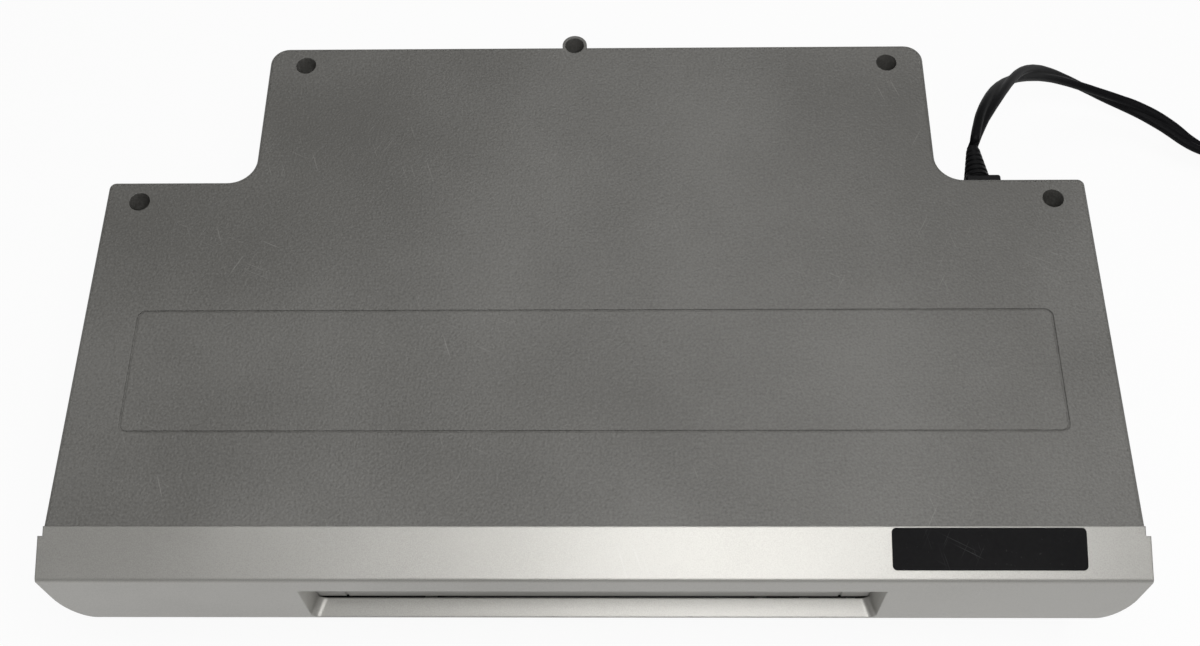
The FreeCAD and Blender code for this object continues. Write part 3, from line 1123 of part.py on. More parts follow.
def tangent_belt():
    """The loop round both pulleys: two outer tangents and two arcs, as a flat band."""
    first, second = [Vector(*values(centre + (S.belt_low,))) for centre in (CAPSTAN, CLUTCH)]
    small, large = (S.pulley_radius + S.belt_gap).value, (S.clutch_radius + S.belt_gap).value
    along = (second - first)
    reach = along.Length
    along.normalize()
    side = Vector(-along.y, along.x, 0)
    faces = []
    for extra in (S.belt_thickness.value, 0.0):
        a, b = small + extra, large + extra
        sine = (b - a) / reach
        cosine = math.sqrt(1.0 - sine * sine)
        up = side * cosine - along * sine
        down = side * -cosine - along * sine
        points = [first + up * a, second + up * b, second + along * b, second + down * b, first + down * a,
                  first - along * a]
        edges = [Part.makeLine(points[0], points[1]), Part.Arc(points[1], points[2], points[3]).toShape(),
                 Part.makeLine(points[3], points[4]), Part.Arc(points[4], points[5], points[0]).toShape()]
        faces.append(Part.Face(Part.Wire(edges)).extrude(Vector(0, 0, (S.belt_high - S.belt_low).value)))
    belt = DOC.addObject("Part::Feature", "Belt")
    belt.Shape = faces[0].cut(faces[1])
    return belt


def make_drive():
    """Capstan with flywheel, its motor plate, the belt, the clutch, the idler and both reels."""
    x, y = CAPSTAN
    shaft = upright_pin("CapstanShaft", CAPSTAN, S.pulley_low - 1.0, S.capstan_top, S.capstan_shaft)
    wheel = upright_pin("Flywheel", CAPSTAN, S.flywheel_low, S.flywheel_high, S.flywheel_radius)
    pulley = upright_pin("CapstanPulley", CAPSTAN, S.pulley_low, S.pulley_high, S.pulley_radius)
    hub = upright_pin("CapstanHub", CAPSTAN, S.pulley_high - 0.5, S.flywheel_low + 0.5, S.pulley_radius - 2.0)
    node("capstan", fuse("Capstan", shaft, wheel, pulley, hub))
    stator = upright_pin("Stator", CAPSTAN, S.deck_bottom - S.stator_thickness, S.deck_bottom,
                         S.flywheel_radius)
    bearing = upright_pin("Bearing", CAPSTAN, S.deck_bottom - S.stator_thickness, S.bearing_top,
                          S.bearing_radius)
    bore = upright_pin("BearingBore", CAPSTAN, S.deck_bottom - 9.0, S.bearing_top + 9.0,
                       S.capstan_shaft + S.shaft_gap)
    node("capstan_motor", cut("CapstanMotor", fuse("CapstanMotorBody", stator, bearing), bore))
    node("drive_belt", tangent_belt())
    node("clutch_pulley", fuse("ClutchPulley",
                               upright_pin("ClutchShaft", CLUTCH, S.clutch_low - 0.8, S.clutch_top,
                                           S.clutch_shaft),
                               upright_pin("ClutchWheel", CLUTCH, S.clutch_low, S.clutch_high,
                                           S.clutch_radius),
                               upright_pin("ClutchHub", CLUTCH, S.clutch_hub_low, S.clutch_hub_high,
                                           S.clutch_hub)))
    tip = (0.0, S.clutch_y - S.idler_length)
    bar = fuse("IdlerArmBody",
               upright_pin("IdlerHub", CLUTCH, S.idler_arm_low, S.idler_arm_high, 5.0),
               box("IdlerBar", (-S.idler_arm_width / 2, S.clutch_y - S.idler_length, S.idler_arm_low),
                   (S.idler_arm_width / 2, S.clutch_y, S.idler_arm_high)),
               upright_pin("IdlerTip", tip, S.idler_arm_low, S.idler_arm_high, S.idler_arm_width / 2),
               upright_pin("IdlerPin", tip, S.clutch_hub_low - 0.5, S.idler_arm_high, S.idler_pin))
    node("idler_arm", cut("IdlerArm", bar, upright_pin("IdlerBore", CLUTCH, S.idler_arm_low - 1.0,
                                                       S.idler_arm_high + 1.0, S.clutch_shaft + S.shaft_gap)))
    node("idler_wheel", tube("IdlerWheel", (tip[0], tip[1], S.clutch_hub_low),
                             S.clutch_hub_high - S.clutch_hub_low,
                             S.idler_radius, S.idler_pin + S.shaft_gap))
    for name, centre in zip(("supply_reel", "takeup_reel"), REELS):
        rim = upright_pin(name + "_rim", centre, S.reel_low, S.reel_low + S.reel_rim, S.reel_radius)
        hub = upright_pin(name + "_hub", centre, S.reel_low, S.reel_low + S.reel_rim + S.reel_hub,
                          S.reel_hub_radius)
        spindle = upright_pin(name + "_spindle", centre, S.reel_low, S.reel_top, S.reel_spindle)
        fins = []
        for count in range(3):
            fin = box("%s_fin%d" % (name, count), (0.0, -S.reel_spline / 2, S.reel_low + S.reel_rim),
                      (S.reel_spindle + 1.6, S.reel_spline / 2, S.reel_top - 3.0))
            turned = group("%s_finturn%d" % (name, count), fin)
            fins.append(at(tilt(turned, (0, 0, 1), 120.0 * count), centre[0], centre[1], 0.0))
        bore = upright_pin(name + "_bore", centre, S.reel_low - 1.0, S.reel_pin_top + 0.5, PIN_BORE)
        node(name, cut(name + "_turned", fuse(name + "_body", rim, hub, spindle, *fins), bore))


def make_pinch():
    """The pinch arm and its rubber roller, and both tape heads on their stands."""
    pivot, tip = (S.pinch_x, S.pinch_y), (S.roller_rest_x, S.roller_rest_y)
    run, rise = S.pinch_x - S.roller_rest_x, S.pinch_y - S.roller_rest_y
    reach = root_of_squares(run, rise)
    bar = box("PinchBarBox", (-S.pinch_width / 2, -reach, S.pinch_low),
              (S.pinch_width / 2, 0.0, S.pinch_high))
    lean_back = slope_angle(S.roller_rest_x - S.pinch_x, rise)
    laid = at(tilt(group("PinchBar", bar), (0, 0, 1), lean_back), S.pinch_x, S.pinch_y, 0.0)
    arm = fuse("PinchArmBody", laid, upright_pin("PinchHub", pivot, S.pinch_low, S.pinch_high,
                                                 S.pinch_width / 2 + 1.0),
               upright_pin("PinchTip", tip, S.pinch_low, S.pinch_high, S.pinch_width / 2),
               upright_pin("RollerPin", tip, S.pinch_low, S.roller_high + 1.0, S.roller_pin))
    node("pinch_arm", cut("PinchArm", arm, upright_pin("PinchBore", pivot, S.pinch_low - 1.0,
                                                       S.pinch_high + 1.0,
                                                       S.pinch_pin + S.shaft_gap)))
    node("pinch_roller", tube("PinchRoller", (tip[0], tip[1], S.roller_low), S.roller_high - S.roller_low,
                              S.roller_radius, S.roller_pin + S.shaft_gap))


S.set(audio_x=64.0, audio_y=40.0, audio_width=10.0, audio_depth=8.0, erase_x=-58.0, erase_y=22.0,
      erase_width=8.0,
      erase_depth=8.0, head_low=36.0, head_top=54.0, stand_radius=3.0)


def make_heads():
    """The sound head and the erase head on their bases."""
    for name, x, y, width, depth in (("audio_head", S.audio_x, S.audio_y, S.audio_width, S.audio_depth),
                                     ("erase_head", S.erase_x, S.erase_y, S.erase_width, S.erase_depth)):
        head = box(name + "_case", (x - width / 2, y - depth / 2, S.head_low),
                   (x + width / 2, y + depth / 2, S.head_top))
        stand = rod(name + "_stand", (x, y, DECK_TOP), S.head_low - DECK_TOP + 1.0, S.stand_radius)
        node(name, fuse(name + "_body", head, stand))


def involute(angle):
    """The involute function of an angle."""
    return math.tan(angle) - angle


def gear(name, centre, teeth, module, bore, first_tooth, add):
    """A spur gear from its tooth count: involute flanks above the base circle, radial ones below."""
    count, step, play = int(teeth.value), module.value, S.gear_backlash.value
    pitch = count * step / 2
    pressure = math.radians(20.0)
    base = pitch * math.cos(pressure)
    levels = [pitch - 1.3 * step + (1.3 + add) * step * rank / 6 for rank in range(7)]
    half_pitch = math.pi / 2 / count - play / 2 / pitch
    corners = []
    for tooth in range(count):
        middle = first_tooth + 2 * math.pi * tooth / count
        flank = []
        for level in levels:
            rolled = involute(math.acos(min(1.0, base / max(level, base))))
            flank.append((level, half_pitch + involute(pressure) - rolled))
        corners += [(level, middle - half) for level, half in flank]
        corners += [(level, middle + half) for level, half in reversed(flank)]
    low, height = S.gear_low.value, (S.gear_high - S.gear_low).value
    x, y = value_of(centre[0]), value_of(centre[1])
    points = [Vector(x + level * math.cos(turn), y + level * math.sin(turn), low) for level, turn in corners]
    blank = Part.Face(Part.makePolygon(points + points[:1])).extrude(Vector(0, 0, height))
    wheel = DOC.addObject("Part::Feature", name)
    wheel.Shape = blank
    return cut(name + "Bored", wheel, upright_pin(name + "Bore", centre, S.gear_low - 1.0, S.gear_high + 1.0,
                                                  bore))


def make_loading():
    """The loading motor, its pinion and the cam gear."""
    node("cam_gear", gear("CamGear", CAM, S.cam_teeth, S.gear_module, S.cam_pin + S.shaft_gap,
                          math.radians(135.0), 0.8))
    tooth = math.radians(315.0) + math.pi / S.pinion_teeth.value
    wheel = gear("PinionGear", PINION, S.pinion_teeth, S.gear_module, S.pinion_shaft / 2, tooth, 0.8)
    shaft = upright_pin("PinionShaft", PINION, S.gear_low - 1.0, S.gear_high + 12.0, S.pinion_shaft)
    node("motor_pinion", fuse("MotorPinion", wheel, shaft))
    can = upright_pin("MotorCan", PINION, DECK_TOP, S.motor_top, S.motor_radius)
    nose = upright_pin("MotorNose", PINION, S.deck_bottom, DECK_TOP + 1.0, 3.0)
    bore = upright_pin("MotorBore", PINION, S.deck_bottom - 1.0, S.gear_high + 12.5,
                       S.pinion_shaft + S.shaft_gap)
    node("loading_motor", cut("LoadingMotor", fuse("MotorBody", can, nose), bore))


def make_carriage():
    """Side brackets, the slider between them and the cassette tray that hangs in it."""
    outer = S.bracket_in + S.bracket_thickness
    play = S.slot_play
    for name, side in (("bracket_left", -1), ("bracket_right", 1)):
        def span(near_x, far_x, y_low, y_high, z_low, z_high, part):
            xs = (side * near_x, side * far_x) if side > 0 else (side * far_x, side * near_x)
            return box("%s_%s" % (name, part), (xs[0], y_low, z_low), (xs[1], y_high, z_high))
        plate = span(S.bracket_in, outer, S.bracket_front, S.bracket_rear, DECK_TOP, S.bracket_top, "plate")
        foot = span(outer - 0.5, S.bracket_foot, S.foot_front, S.foot_rear, DECK_TOP,
                    DECK_TOP + S.bracket_thickness,
                    "foot")
        reach = S.pin_radius + play
        window = span(S.bracket_in - 1.0, outer + 1.0, S.pin_front - reach,
                      S.pin_rear + S.slide_travel + reach,
                      S.pin_height - S.drop_travel - reach, S.pin_height + reach, "window")
        track = S.guide_radius + play
        slot = span(S.bracket_in - 1.0, outer + 1.0, S.pin_front - track, S.pin_rear + S.slide_travel + track,
                    S.guide_height - track, S.guide_height + track, "slot")
        node(name, cut(name + "_cut", fuse(name + "_body", plate, foot), window, slot))
    parts, cuts = [], []
    far = S.slider_in + S.slider_thickness
    for side in (-1, 1):
        low, high = (S.slider_in, far) if side > 0 else (-far, -S.slider_in)
        tag = "%d" % (side + 1)
        parts.append(box("SliderPlate" + tag, (low, S.bracket_front, S.slider_low),
                         (high, S.slider_rear, S.slider_high)))
        parts.append(box("SliderEar" + tag, (low, S.cross_y - 3.0, S.slider_high - 1.0),
                         (high, S.slider_rear, S.cross_z + 2.0)))
        for count, y in enumerate((S.pin_front, S.pin_rear)):
            start = far - 0.5 if side > 0 else -S.pin_reach
            parts.append(rod("SliderPin%s%d" % (tag, count), (start, y, S.guide_height),
                             S.pin_reach - far + 0.5,
                             S.guide_radius, "x"))
            cuts.append(box("SliderSlot%s%d" % (tag, count),
                            (low - 0.3, y - S.pin_radius - play,
                             S.pin_height - S.drop_travel - S.pin_radius - play),
                            (high + 0.3, y + S.pin_radius + play, S.pin_height + S.pin_radius + play)))
    parts.append(rod("CrossShaft", (-far, S.cross_y, S.cross_z), far * 2, S.cross_radius, "x"))
    node("carriage_slider", cut("Slider", fuse("SliderBody", *parts), *cuts))
    tray = [box("TrayRoof", (-S.tray_side - 0.5, S.roof_front, S.tray_roof),
                (S.tray_side + 0.5, S.tray_rear, S.tray_roof + S.roof_sheet))]
    wall = S.tray_side + S.tray_wall
    for side in (-1, 1):
        tag = "%d" % (side + 1)
        low, high = (S.tray_side, wall) if side > 0 else (-wall, -S.tray_side)
        tray.append(box("TrayWall" + tag, (low, S.tray_front, S.tray_floor),
                        (high, S.tray_rear, S.tray_roof + S.roof_sheet)))
        low, high = (S.tray_ledge, S.tray_side + 0.5) if side > 0 else (-S.tray_side - 0.5, -S.tray_ledge)
        tray.append(box("TrayLedge" + tag, (low, S.tray_front, S.tray_floor),
                        (high, S.tray_rear, S.tray_floor + S.tray_sheet)))
        for count, y in enumerate((S.pin_front, S.pin_rear)):
            start = wall - 0.5 if side > 0 else -S.pin_reach
            tray.append(rod("TrayPin%s%d" % (tag, count), (start, y, S.pin_height), S.pin_reach - wall + 0.5,
                            S.pin_radius, "x"))
    node("cassette_tray", fuse("Tray", *tray))


S.set(cord_radius=2.75, cord_flat_width=7.0, coil_x=312.0, coil_outer=43.25, coil_pitch=6.0, coil_low=4.4,
      coil_layer=7.4, coil_turns=5.25, coil_climb=0.5, coil_lead=5.5, tie_width=5.0, tie_thickness=0.8,
      tie_gap=0.1,
      tie_side_gap=0.3)
S.set(plug_lead=22.0, plug_neck=12.0, plug_neck_tip=3.2, plug_neck_root=4.5, plug_length=28.0,
      plug_width=19.5,
      plug_height=23.6, plug_round=3.0, blade_width=6.35, blade_thickness=1.5, blade_length=16.0,
      blade_pitch=12.7)
CORD_ROUTE = ((147.6, 78.3, 79.1), (153.7, 90.0, 75.4), (159.8, 100.8, 69.4), (166.1, 110.7, 62.2),
              (173.0, 119.7, 54.5), (180.9, 127.3, 46.1), (189.7, 133.5, 37.5), (199.8, 137.2, 29.1),
              (211.5, 137.8, 21.8), (224.0, 135.8, 16.6), (236.8, 131.4, 14.0), (248.3, 124.2, 12.1),
              (258.9, 116.1, 8.6), (271.1, 112.2, 6.0), (283.9, 112.1, 4.8), (295.6, 112.4, 4.4))
COIL_TOP = 112.4
RUN_SHARE = 0.45


def sweep(edges, radius):
    """A round solid along tangent edges."""
    wire = Part.Wire(edges)
    first = edges[0]
    start = first.valueAt(first.FirstParameter)
    way = first.tangentAt(first.FirstParameter)
    ring = Part.Wire(Part.Circle(start, way, radius).toShape())
    shell = Part.BRepOffsetAPI.MakePipeShell(wire)
    shell.add(ring)
    shell.build()
    shell.makeSolid()
    return shell.shape()


def rounded_route(points):
    """Straight runs joined by arcs as large as their two runs allow, with the radii of the arcs."""
    edges, radii = [], []
    last = points[0]
    for before, corner, after in zip(points, points[1:], points[2:]):
        back, ahead = (corner - before), (after - corner)
        reach = RUN_SHARE * min(back.Length, ahead.Length)
        back.normalize()
        ahead.normalize()
        turn = back.getAngle(ahead)
        radii.append(reach / math.tan(turn / 2))
        start, end = corner - back * reach, corner + ahead * reach
        inward = ahead - back
        inward.normalize()
        bulge = radii[-1] * (1.0 / math.cos(turn / 2) - 1.0)
        edges += [Part.makeLine(last, start), Part.Arc(start, corner + inward * bulge, end).toShape()]
        last = end
    edges.append(Part.makeLine(last, points[-1]))
    return edges, radii


def coil_point(turns):
    """The middle line of the coil: clockwise, inwards on the first layer, outwards on the second."""
    total, half = S.coil_turns.value, S.coil_turns.value / 2
    radius = S.coil_outer.value - S.coil_pitch.value * (half - abs(turns - half))
    rise = min(1.0, max(0.0, (turns - half) / S.coil_climb.value + 0.5))
    z = S.coil_low.value + S.coil_layer.value * (1.0 - math.cos(math.pi * rise)) / 2
    angle = math.pi / 2 - 2 * math.pi * turns
    centre_y = COIL_TOP - S.coil_outer.value
    return Vector(S.coil_x.value + radius * math.cos(angle), centre_y + radius * math.sin(angle), z)


def coil_way(turns):
    """The direction of the coil's middle line."""
    small = 1e-4
    way = coil_point(turns + small) - coil_point(turns - small)
    way.normalize()
    return way


def biarc(start, way, end, end_way):
    """Two tangent arcs from one point and heading to another."""
    chord = end - start
    both = way + end_way
    a, b, c = 2 * (1 - way.dot(end_way)), 2 * chord.dot(both), -chord.dot(chord)
    reach = -c / b if abs(a) < 1e-9 else (-b + math.sqrt(b * b - 4 * a * c)) / (2 * a)
    middle = (start + end + (way - end_way) * reach) / 2
    first = tangent_arc(start, way, middle)
    second = tangent_arc(end, end_way * -1, middle)
    return [first, Part.Arc(middle, second.valueAt((second.FirstParameter + second.LastParameter) / 2),
                            end).toShape()]


def tangent_arc(start, way, end):
    """The arc from a start along its way to an end."""
    chord = end - start
    side = chord - way * chord.dot(way)
    if side.Length < 1e-6:
        return Part.makeLine(start, end)
    side.normalize()
    angle = math.atan2(chord.dot(side), chord.dot(way))
    radius = chord.Length / 2 / math.sin(angle)
    middle = start + way * (radius * math.sin(angle)) + side * (radius * (1 - math.cos(angle)))
    return Part.Arc(start, middle, end).toShape()


def least_gap(samples, skip, radius):
    """The least gap between stretches of a winding that are a given number of samples apart."""
    least = 1e9
    for first in range(len(samples)):
        for second in range(first + skip, len(samples)):
            least = min(least, samples[first].distanceToPoint(samples[second]))
    return least - 2 * radius


def make_cord():
    """The power cord, its coil with tie, and the mains plug."""
    radius = S.cord_radius.value
    x, y, z = BUSHING
    tip = Vector(*values((x, y + S.bushing_block + S.relief_length, z)))
    heading = Vector(*CORD_ROUTE[0]) - tip
    heading.normalize()
    tip = tip + heading * (S.relief_last.value * math.sqrt(1 - heading.y ** 2) + 0.05)
    coil_start = coil_point(0.0) - Vector(S.coil_lead.value, 0, 0)
    points = [tip] + [Vector(*point) for point in CORD_ROUTE] + [coil_start]
    edges, radii = rounded_route(points)
    cord = DOC.addObject("Part::Feature", "PowerCord")
    cord.Shape = sweep(edges, radius)
    length = sum(edge.Length for edge in edges)
    print("cord length %.1f, least radius %.1f, volume %.1f of %.1f" % (
        length, min(radii), cord.Shape.Volume, math.pi * radius ** 2 * length))
    print("cord radii", " ".join("%.0f" % value for value in radii))
    node("power_cord", cord)
    quarters = int(round(S.coil_turns.value * 4))
    turns = []
    for step in range(quarters * 2):
        a, b = step / 8.0, (step + 1) / 8.0
        way = Vector(1, 0, 0) if step == 0 else coil_way(a)
        end_way = Vector(0, -1, 0) if step == quarters * 2 - 1 else coil_way(b)
        turns += biarc(coil_point(a), way, coil_point(b), end_way)
    finish = coil_point(S.coil_turns.value)
    foot = finish - Vector(0, S.plug_lead.value, 0)
    coil = DOC.addObject("Part::Feature", "CordCoil")
    coil_edges = [Part.makeLine(coil_start, coil_point(0.0))] + turns + [Part.makeLine(finish, foot)]
    coil.Shape = sweep(coil_edges, radius)
    coil_length = sum(edge.Length for edge in coil_edges)
    samples = [coil_point(S.coil_turns.value * count / 840.0) for count in range(841)]
    print("coil length %.1f, least gap %.2f, volume %.1f of %.1f" % (
        coil_length, least_gap(samples, 60, radius), coil.Shape.Volume, math.pi * radius ** 2 * coil_length))
    print("whole cord %.1f" % (length + coil_length))
    node("cord_coil", coil)
    low = S.coil_low - S.cord_flat_width / 2 - S.tie_gap
    high = S.coil_low + S.coil_layer + S.cord_flat_width / 2 + S.tie_gap
    centre_y = COIL_TOP - S.coil_outer
    outer = S.coil_outer - S.coil_pitch * 0.5
    inner = S.coil_outer - S.coil_pitch * 2.5
    left = S.coil_x - outer - S.cord_radius - S.tie_side_gap
    right = S.coil_x - inner + S.cord_radius + S.tie_side_gap
    edge = S.tie_thickness
    band = box("TieBand", (left - edge, centre_y - S.tie_width / 2, low - edge),
               (right + edge, centre_y + S.tie_width / 2, high + edge))
    inside = box("TieInside", (left, centre_y - S.tie_width, low), (right, centre_y + S.tie_width, high))
    node("cord_tie", cut("CordTie", band, inside))
    plug_x, plug_y, plug_z = S.coil_x + S.coil_outer, COIL_TOP - S.coil_outer - S.plug_lead, \
        S.coil_low + S.coil_layer
    neck = cone("PlugNeck", (plug_x, plug_y - S.plug_neck - 0.5, plug_z), S.plug_neck + 0.5, S.plug_neck_root,
                S.plug_neck_tip, "y")
    front = plug_y - S.plug_neck
    block = box("PlugBlock", (plug_x - S.plug_width / 2, front - S.plug_length, plug_z - S.plug_height / 2),
                (plug_x + S.plug_width / 2, front, plug_z + S.plug_height / 2))
    soft = rounded("PlugSoft", block, S.plug_round, lambda middle, way: abs(way.y) > 5)
    tip = front - S.plug_length
    blades = []
    for side in (-1, 1):
        z = plug_z + side * S.blade_pitch / 2
        blades.append(box("Blade%d" % side, (plug_x - S.blade_width / 2, tip - S.blade_length,
                                             z - S.blade_thickness / 2),
                          (plug_x + S.blade_width / 2, tip + 1.0, z + S.blade_thickness / 2)))
    node("mains_plug", fuse("MainsPlug", neck, soft, *blades))


node("main_board", make_main_board())
node("board_components", make_components())
node("transformer", make_transformer())
make_rear_sockets()
node("cord_bushing", make_bushing())
node("deck_plate", make_deck())
make_drum()
make_guide_arm("supply_guide_arm", 0, S.supply_arm_rest)
make_guide_arm("takeup_guide_arm", 1, S.takeup_arm_rest)
make_drive()
make_pinch()
make_heads()
make_loading()
make_carriage()
make_cord()
DOC.recompute()
os.makedirs("parts", exist_ok=True)
failed = []
for thing in DOC.Objects:
    if "Invalid" in thing.State or "Error" in thing.State:
        failed.append("%s %s" % (thing.Label, thing.State))
for name, thing in NODES:
    shape = thing.Shape
    if shape.isNull() or not shape.isValid():
        failed.append("%s has no valid shape" % name)
    print(name, len(shape.Solids), round(shape.Volume, 1), shape.BoundBox)
if failed:
    raise ValueError("; ".join(failed))
for name, thing in NODES:
    thing.Shape.exportStep("parts/%s.step" % name)
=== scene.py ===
"""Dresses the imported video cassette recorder: finishes, fine detail, mains lead, light and camera."""

from __future__ import annotations

import logging
import math
from collections.abc import Iterable, Sequence
from dataclasses import dataclass, field
from enum import Enum
from functools import partial

import bpy
import numpy as np
from mathutils import Matrix, Vector

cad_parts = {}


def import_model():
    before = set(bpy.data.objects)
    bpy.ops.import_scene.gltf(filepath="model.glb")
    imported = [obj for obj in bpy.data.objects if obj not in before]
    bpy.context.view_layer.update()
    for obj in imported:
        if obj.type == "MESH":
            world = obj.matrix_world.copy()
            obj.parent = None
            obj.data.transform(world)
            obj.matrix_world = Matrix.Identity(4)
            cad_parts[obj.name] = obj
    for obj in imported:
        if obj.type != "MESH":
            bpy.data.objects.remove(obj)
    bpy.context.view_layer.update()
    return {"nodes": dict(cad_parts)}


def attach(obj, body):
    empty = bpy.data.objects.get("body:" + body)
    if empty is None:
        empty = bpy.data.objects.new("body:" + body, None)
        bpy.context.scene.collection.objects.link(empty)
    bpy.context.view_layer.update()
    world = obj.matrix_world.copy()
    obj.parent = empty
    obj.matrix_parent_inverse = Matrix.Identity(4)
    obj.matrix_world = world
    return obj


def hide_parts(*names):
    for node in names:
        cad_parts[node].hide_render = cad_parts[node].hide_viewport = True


log = logging.getLogger("recorder")

MM = 0.001
TURN = 2 * math.pi
ALONG_X = (1.0, 0.0, 0.0)
TO_BACK = (0.0, 1.0, 0.0)
TO_FRONT = (0.0, -1.0, 0.0)
UP = (0.0, 0.0, 1.0)

Colour = tuple[float, float, float]
Point = tuple[float, float, float]
Outline = list[tuple[float, float]]
Array = np.ndarray
Socket = bpy.types.NodeSocket
Inputs = dict[str | int, object]
Piece = bpy.types.Object


# Shader nodes


class Wiring:
    """Adds nodes to one shader tree and joins them."""

    def __init__(self, tree: bpy.types.NodeTree) -> None:
        """Work on the tree of a material, a world or a node group."""
        self.tree = tree

    def fill(self, node: bpy.types.Node, inputs: Inputs) -> None:
        """Join inputs to sockets or set them to values.

        Args:
            node: The node.
            inputs: The socket or value for each input, by name or number.
        """
        for key, given in inputs.items():
            if isinstance(given, Socket):
                self.tree.links.new(given, node.inputs[key])
            else:
                node.inputs[key].default_value = given

    def node(self, kind: str, inputs: Inputs | None = None, **settings: object) -> bpy.types.Node:
        """Add a node.

        Args:
            kind: Blender's node type, without the ShaderNode before it.
            inputs: The socket or value for each input, by name or number.
            settings: Properties of the node.

        Returns:
            The new node.
        """
        made = self.tree.nodes.new("ShaderNode" + kind)
        for key, setting in settings.items():
            setattr(made, key, setting)
        self.fill(made, inputs or {})
        return made

    def calc(self, how: str, *terms: Socket | float, clamp: bool = False) -> Socket:
        """Return the result of a Math node over sockets or numbers."""
        return self.node("Math", dict(enumerate(terms)), operation=how, use_clamp=clamp).outputs[0]

    def weighed(self, first: Socket, share: float, second: Socket, rest: float) -> Socket:
        """Return the sum of two values, each times its weight."""
        return self.calc("ADD", self.calc("MULTIPLY", first, share), self.calc("MULTIPLY", second, rest))

    def product(self, first: Socket, second: Socket, third: Socket) -> Socket:
        """Return the product of three values, held between 0 and 1."""
        return self.calc("MULTIPLY", self.calc("MULTIPLY", first, second), third, clamp=True)

    def noise(self, vector: Socket, scale: Socket | float, detail: float) -> Socket:
        """Return the factor of a noise texture."""
        return self.node("TexNoise", {"Vector": vector, "Scale": scale, "Detail": detail}).outputs["Fac"]

    def ramp(self, source: Socket, low: float, high: float) -> Socket:
        """Spread a value so that low becomes 0 and high becomes 1, clamped."""
        return self.node("MapRange", {"Value": source, "From Min": low, "From Max": high}).outputs[0]

    def between(self, source: Socket, low: float, high: float) -> Socket:
        """Spread a value so that 0 becomes low and 1 becomes high, clamped."""
        return self.node("MapRange", {"Value": source, "To Min": low, "To Max": high}).outputs[0]

    def mix(self, under: Socket | Colour, over: Colour, mask: Socket) -> Socket:
        """Lay a linear colour over a colour or a socket, as far as the mask says."""
        below = (*under, 1.0) if isinstance(under, tuple) else under
        return self.node("Mix", {"Factor": mask, 6: below, 7: (*over, 1.0)}, data_type="RGBA").outputs[2]

    def group(self, kind: bpy.types.NodeTree, **given: float) -> bpy.types.bpy_prop_collection:
        """Use a node group with numbers for its inputs and return its outputs."""
        return self.node("Group", given, node_tree=kind).outputs


class GroupMaker(Wiring):
    """Builds one shader node group over the object coordinates of the surface."""

    def __init__(self, name: str, *given: str) -> None:
        """Start a group.

        Args:
            name: Name of the node group.
            given: Names of its inputs, which are numbers.
        """
        super().__init__(bpy.data.node_groups.new(name, "ShaderNodeTree"))
        for key in given:
            self.tree.interface.new_socket(key, in_out="INPUT", socket_type="NodeSocketFloat")
        self.given = self.tree.nodes.new("NodeGroupInput").outputs
        self.place = self.node("TexCoord").outputs["Object"]

    def result(self, **sockets: Socket) -> bpy.types.NodeTree:
        """Give the group one output for each socket, named by its keyword, and return the group."""
        outside = self.tree.nodes.new("NodeGroupOutput")
        for key, source in sockets.items():
            kind = "NodeSocketVector" if source.type == "VECTOR" else "NodeSocketFloat"
            self.tree.interface.new_socket(key, in_out="OUTPUT", socket_type=kind)
            self.tree.links.new(source, outside.inputs[key])
        return self.tree


def grain_group() -> bpy.types.NodeTree:
    """Moulded sand grain: fine noise over Voronoi pits for the height, and a slow drift for the tone."""
    made = GroupMaker("sand grain", "Scale")
    fine = made.noise(made.place, made.given["Scale"], detail=3.0)
    pits = made.node("TexVoronoi", {"Vector": made.place, "Scale": made.given["Scale"]}).outputs["Distance"]
    slow = made.noise(made.place, scale=9.0, detail=4.0)
    return made.result(Height=made.weighed(fine, 0.65, pits, 0.5), Tone=made.weighed(slow, 0.55, fine, 0.45))


def scratch_group() -> bpy.types.NodeTree:
    """Handling marks: three sets of short thin noise streaks, kept where a slow noise is high."""
    made = GroupMaker("handling marks", "Amount")
    streak_size = (0.018, 0.0006, 0.016)
    streaks = []
    for turn, seed in ((1.9, 0.0), (1.1, 0.37), (2.7, 0.81)):
        inputs = {"Vector": made.place, "Rotation": (0.0, 0.0, turn), "Location": (seed, seed, 0.0),
                  "Scale": streak_size}
        stretched = made.node("Mapping", inputs, vector_type="TEXTURE").outputs[0]
        streaks.append(made.ramp(made.noise(stretched, scale=1.0, detail=0.5), low=0.72, high=0.80))
    total = made.calc("MAXIMUM", made.calc("MAXIMUM", streaks[0], streaks[1]), streaks[2])
    patch = made.ramp(made.noise(made.place, scale=30.0, detail=2.0), low=0.56, high=0.66)
    return made.result(Mask=made.product(total, patch, made.given["Amount"]))


def wear_group() -> bpy.types.NodeTree:
    """Edge wear: where the rounded normal leaves the true one, broken up by noise."""
    made = GroupMaker("edge wear", "Radius", "Amount")
    rounded = made.node("Bevel", {"Radius": made.given["Radius"]}, samples=4).outputs[0]
    true = made.node("NewGeometry").outputs["True Normal"]
    alike = made.node("VectorMath", {0: rounded, 1: true}, operation="DOT_PRODUCT").outputs["Value"]
    edge = made.ramp(made.calc("SUBTRACT", 1.0, alike), low=0.01, high=0.22)
    worn = made.ramp(made.noise(made.place, scale=160.0, detail=4.0), low=0.42, high=0.62)
    return made.result(Mask=made.product(edge, worn, made.given["Amount"]), Normal=rounded)


def dust_group() -> bpy.types.NodeTree:
    """Settled dust: soft specks and a thin film on faces that look up."""
    made = GroupMaker("settled dust", "Amount")
    normal = made.node("NewGeometry").outputs["Normal"]
    upward = made.ramp(made.node("SeparateXYZ", {0: normal}).outputs["Z"], low=0.35, high=0.95)
    specks = made.ramp(made.noise(made.place, scale=900.0, detail=1.0), low=0.70, high=0.80)
    film = made.ramp(made.noise(made.place, scale=22.0, detail=5.0), low=0.40, high=0.85)
    return made.result(Mask=made.product(made.weighed(specks, 0.7, film, 0.4), upward, made.given["Amount"]))


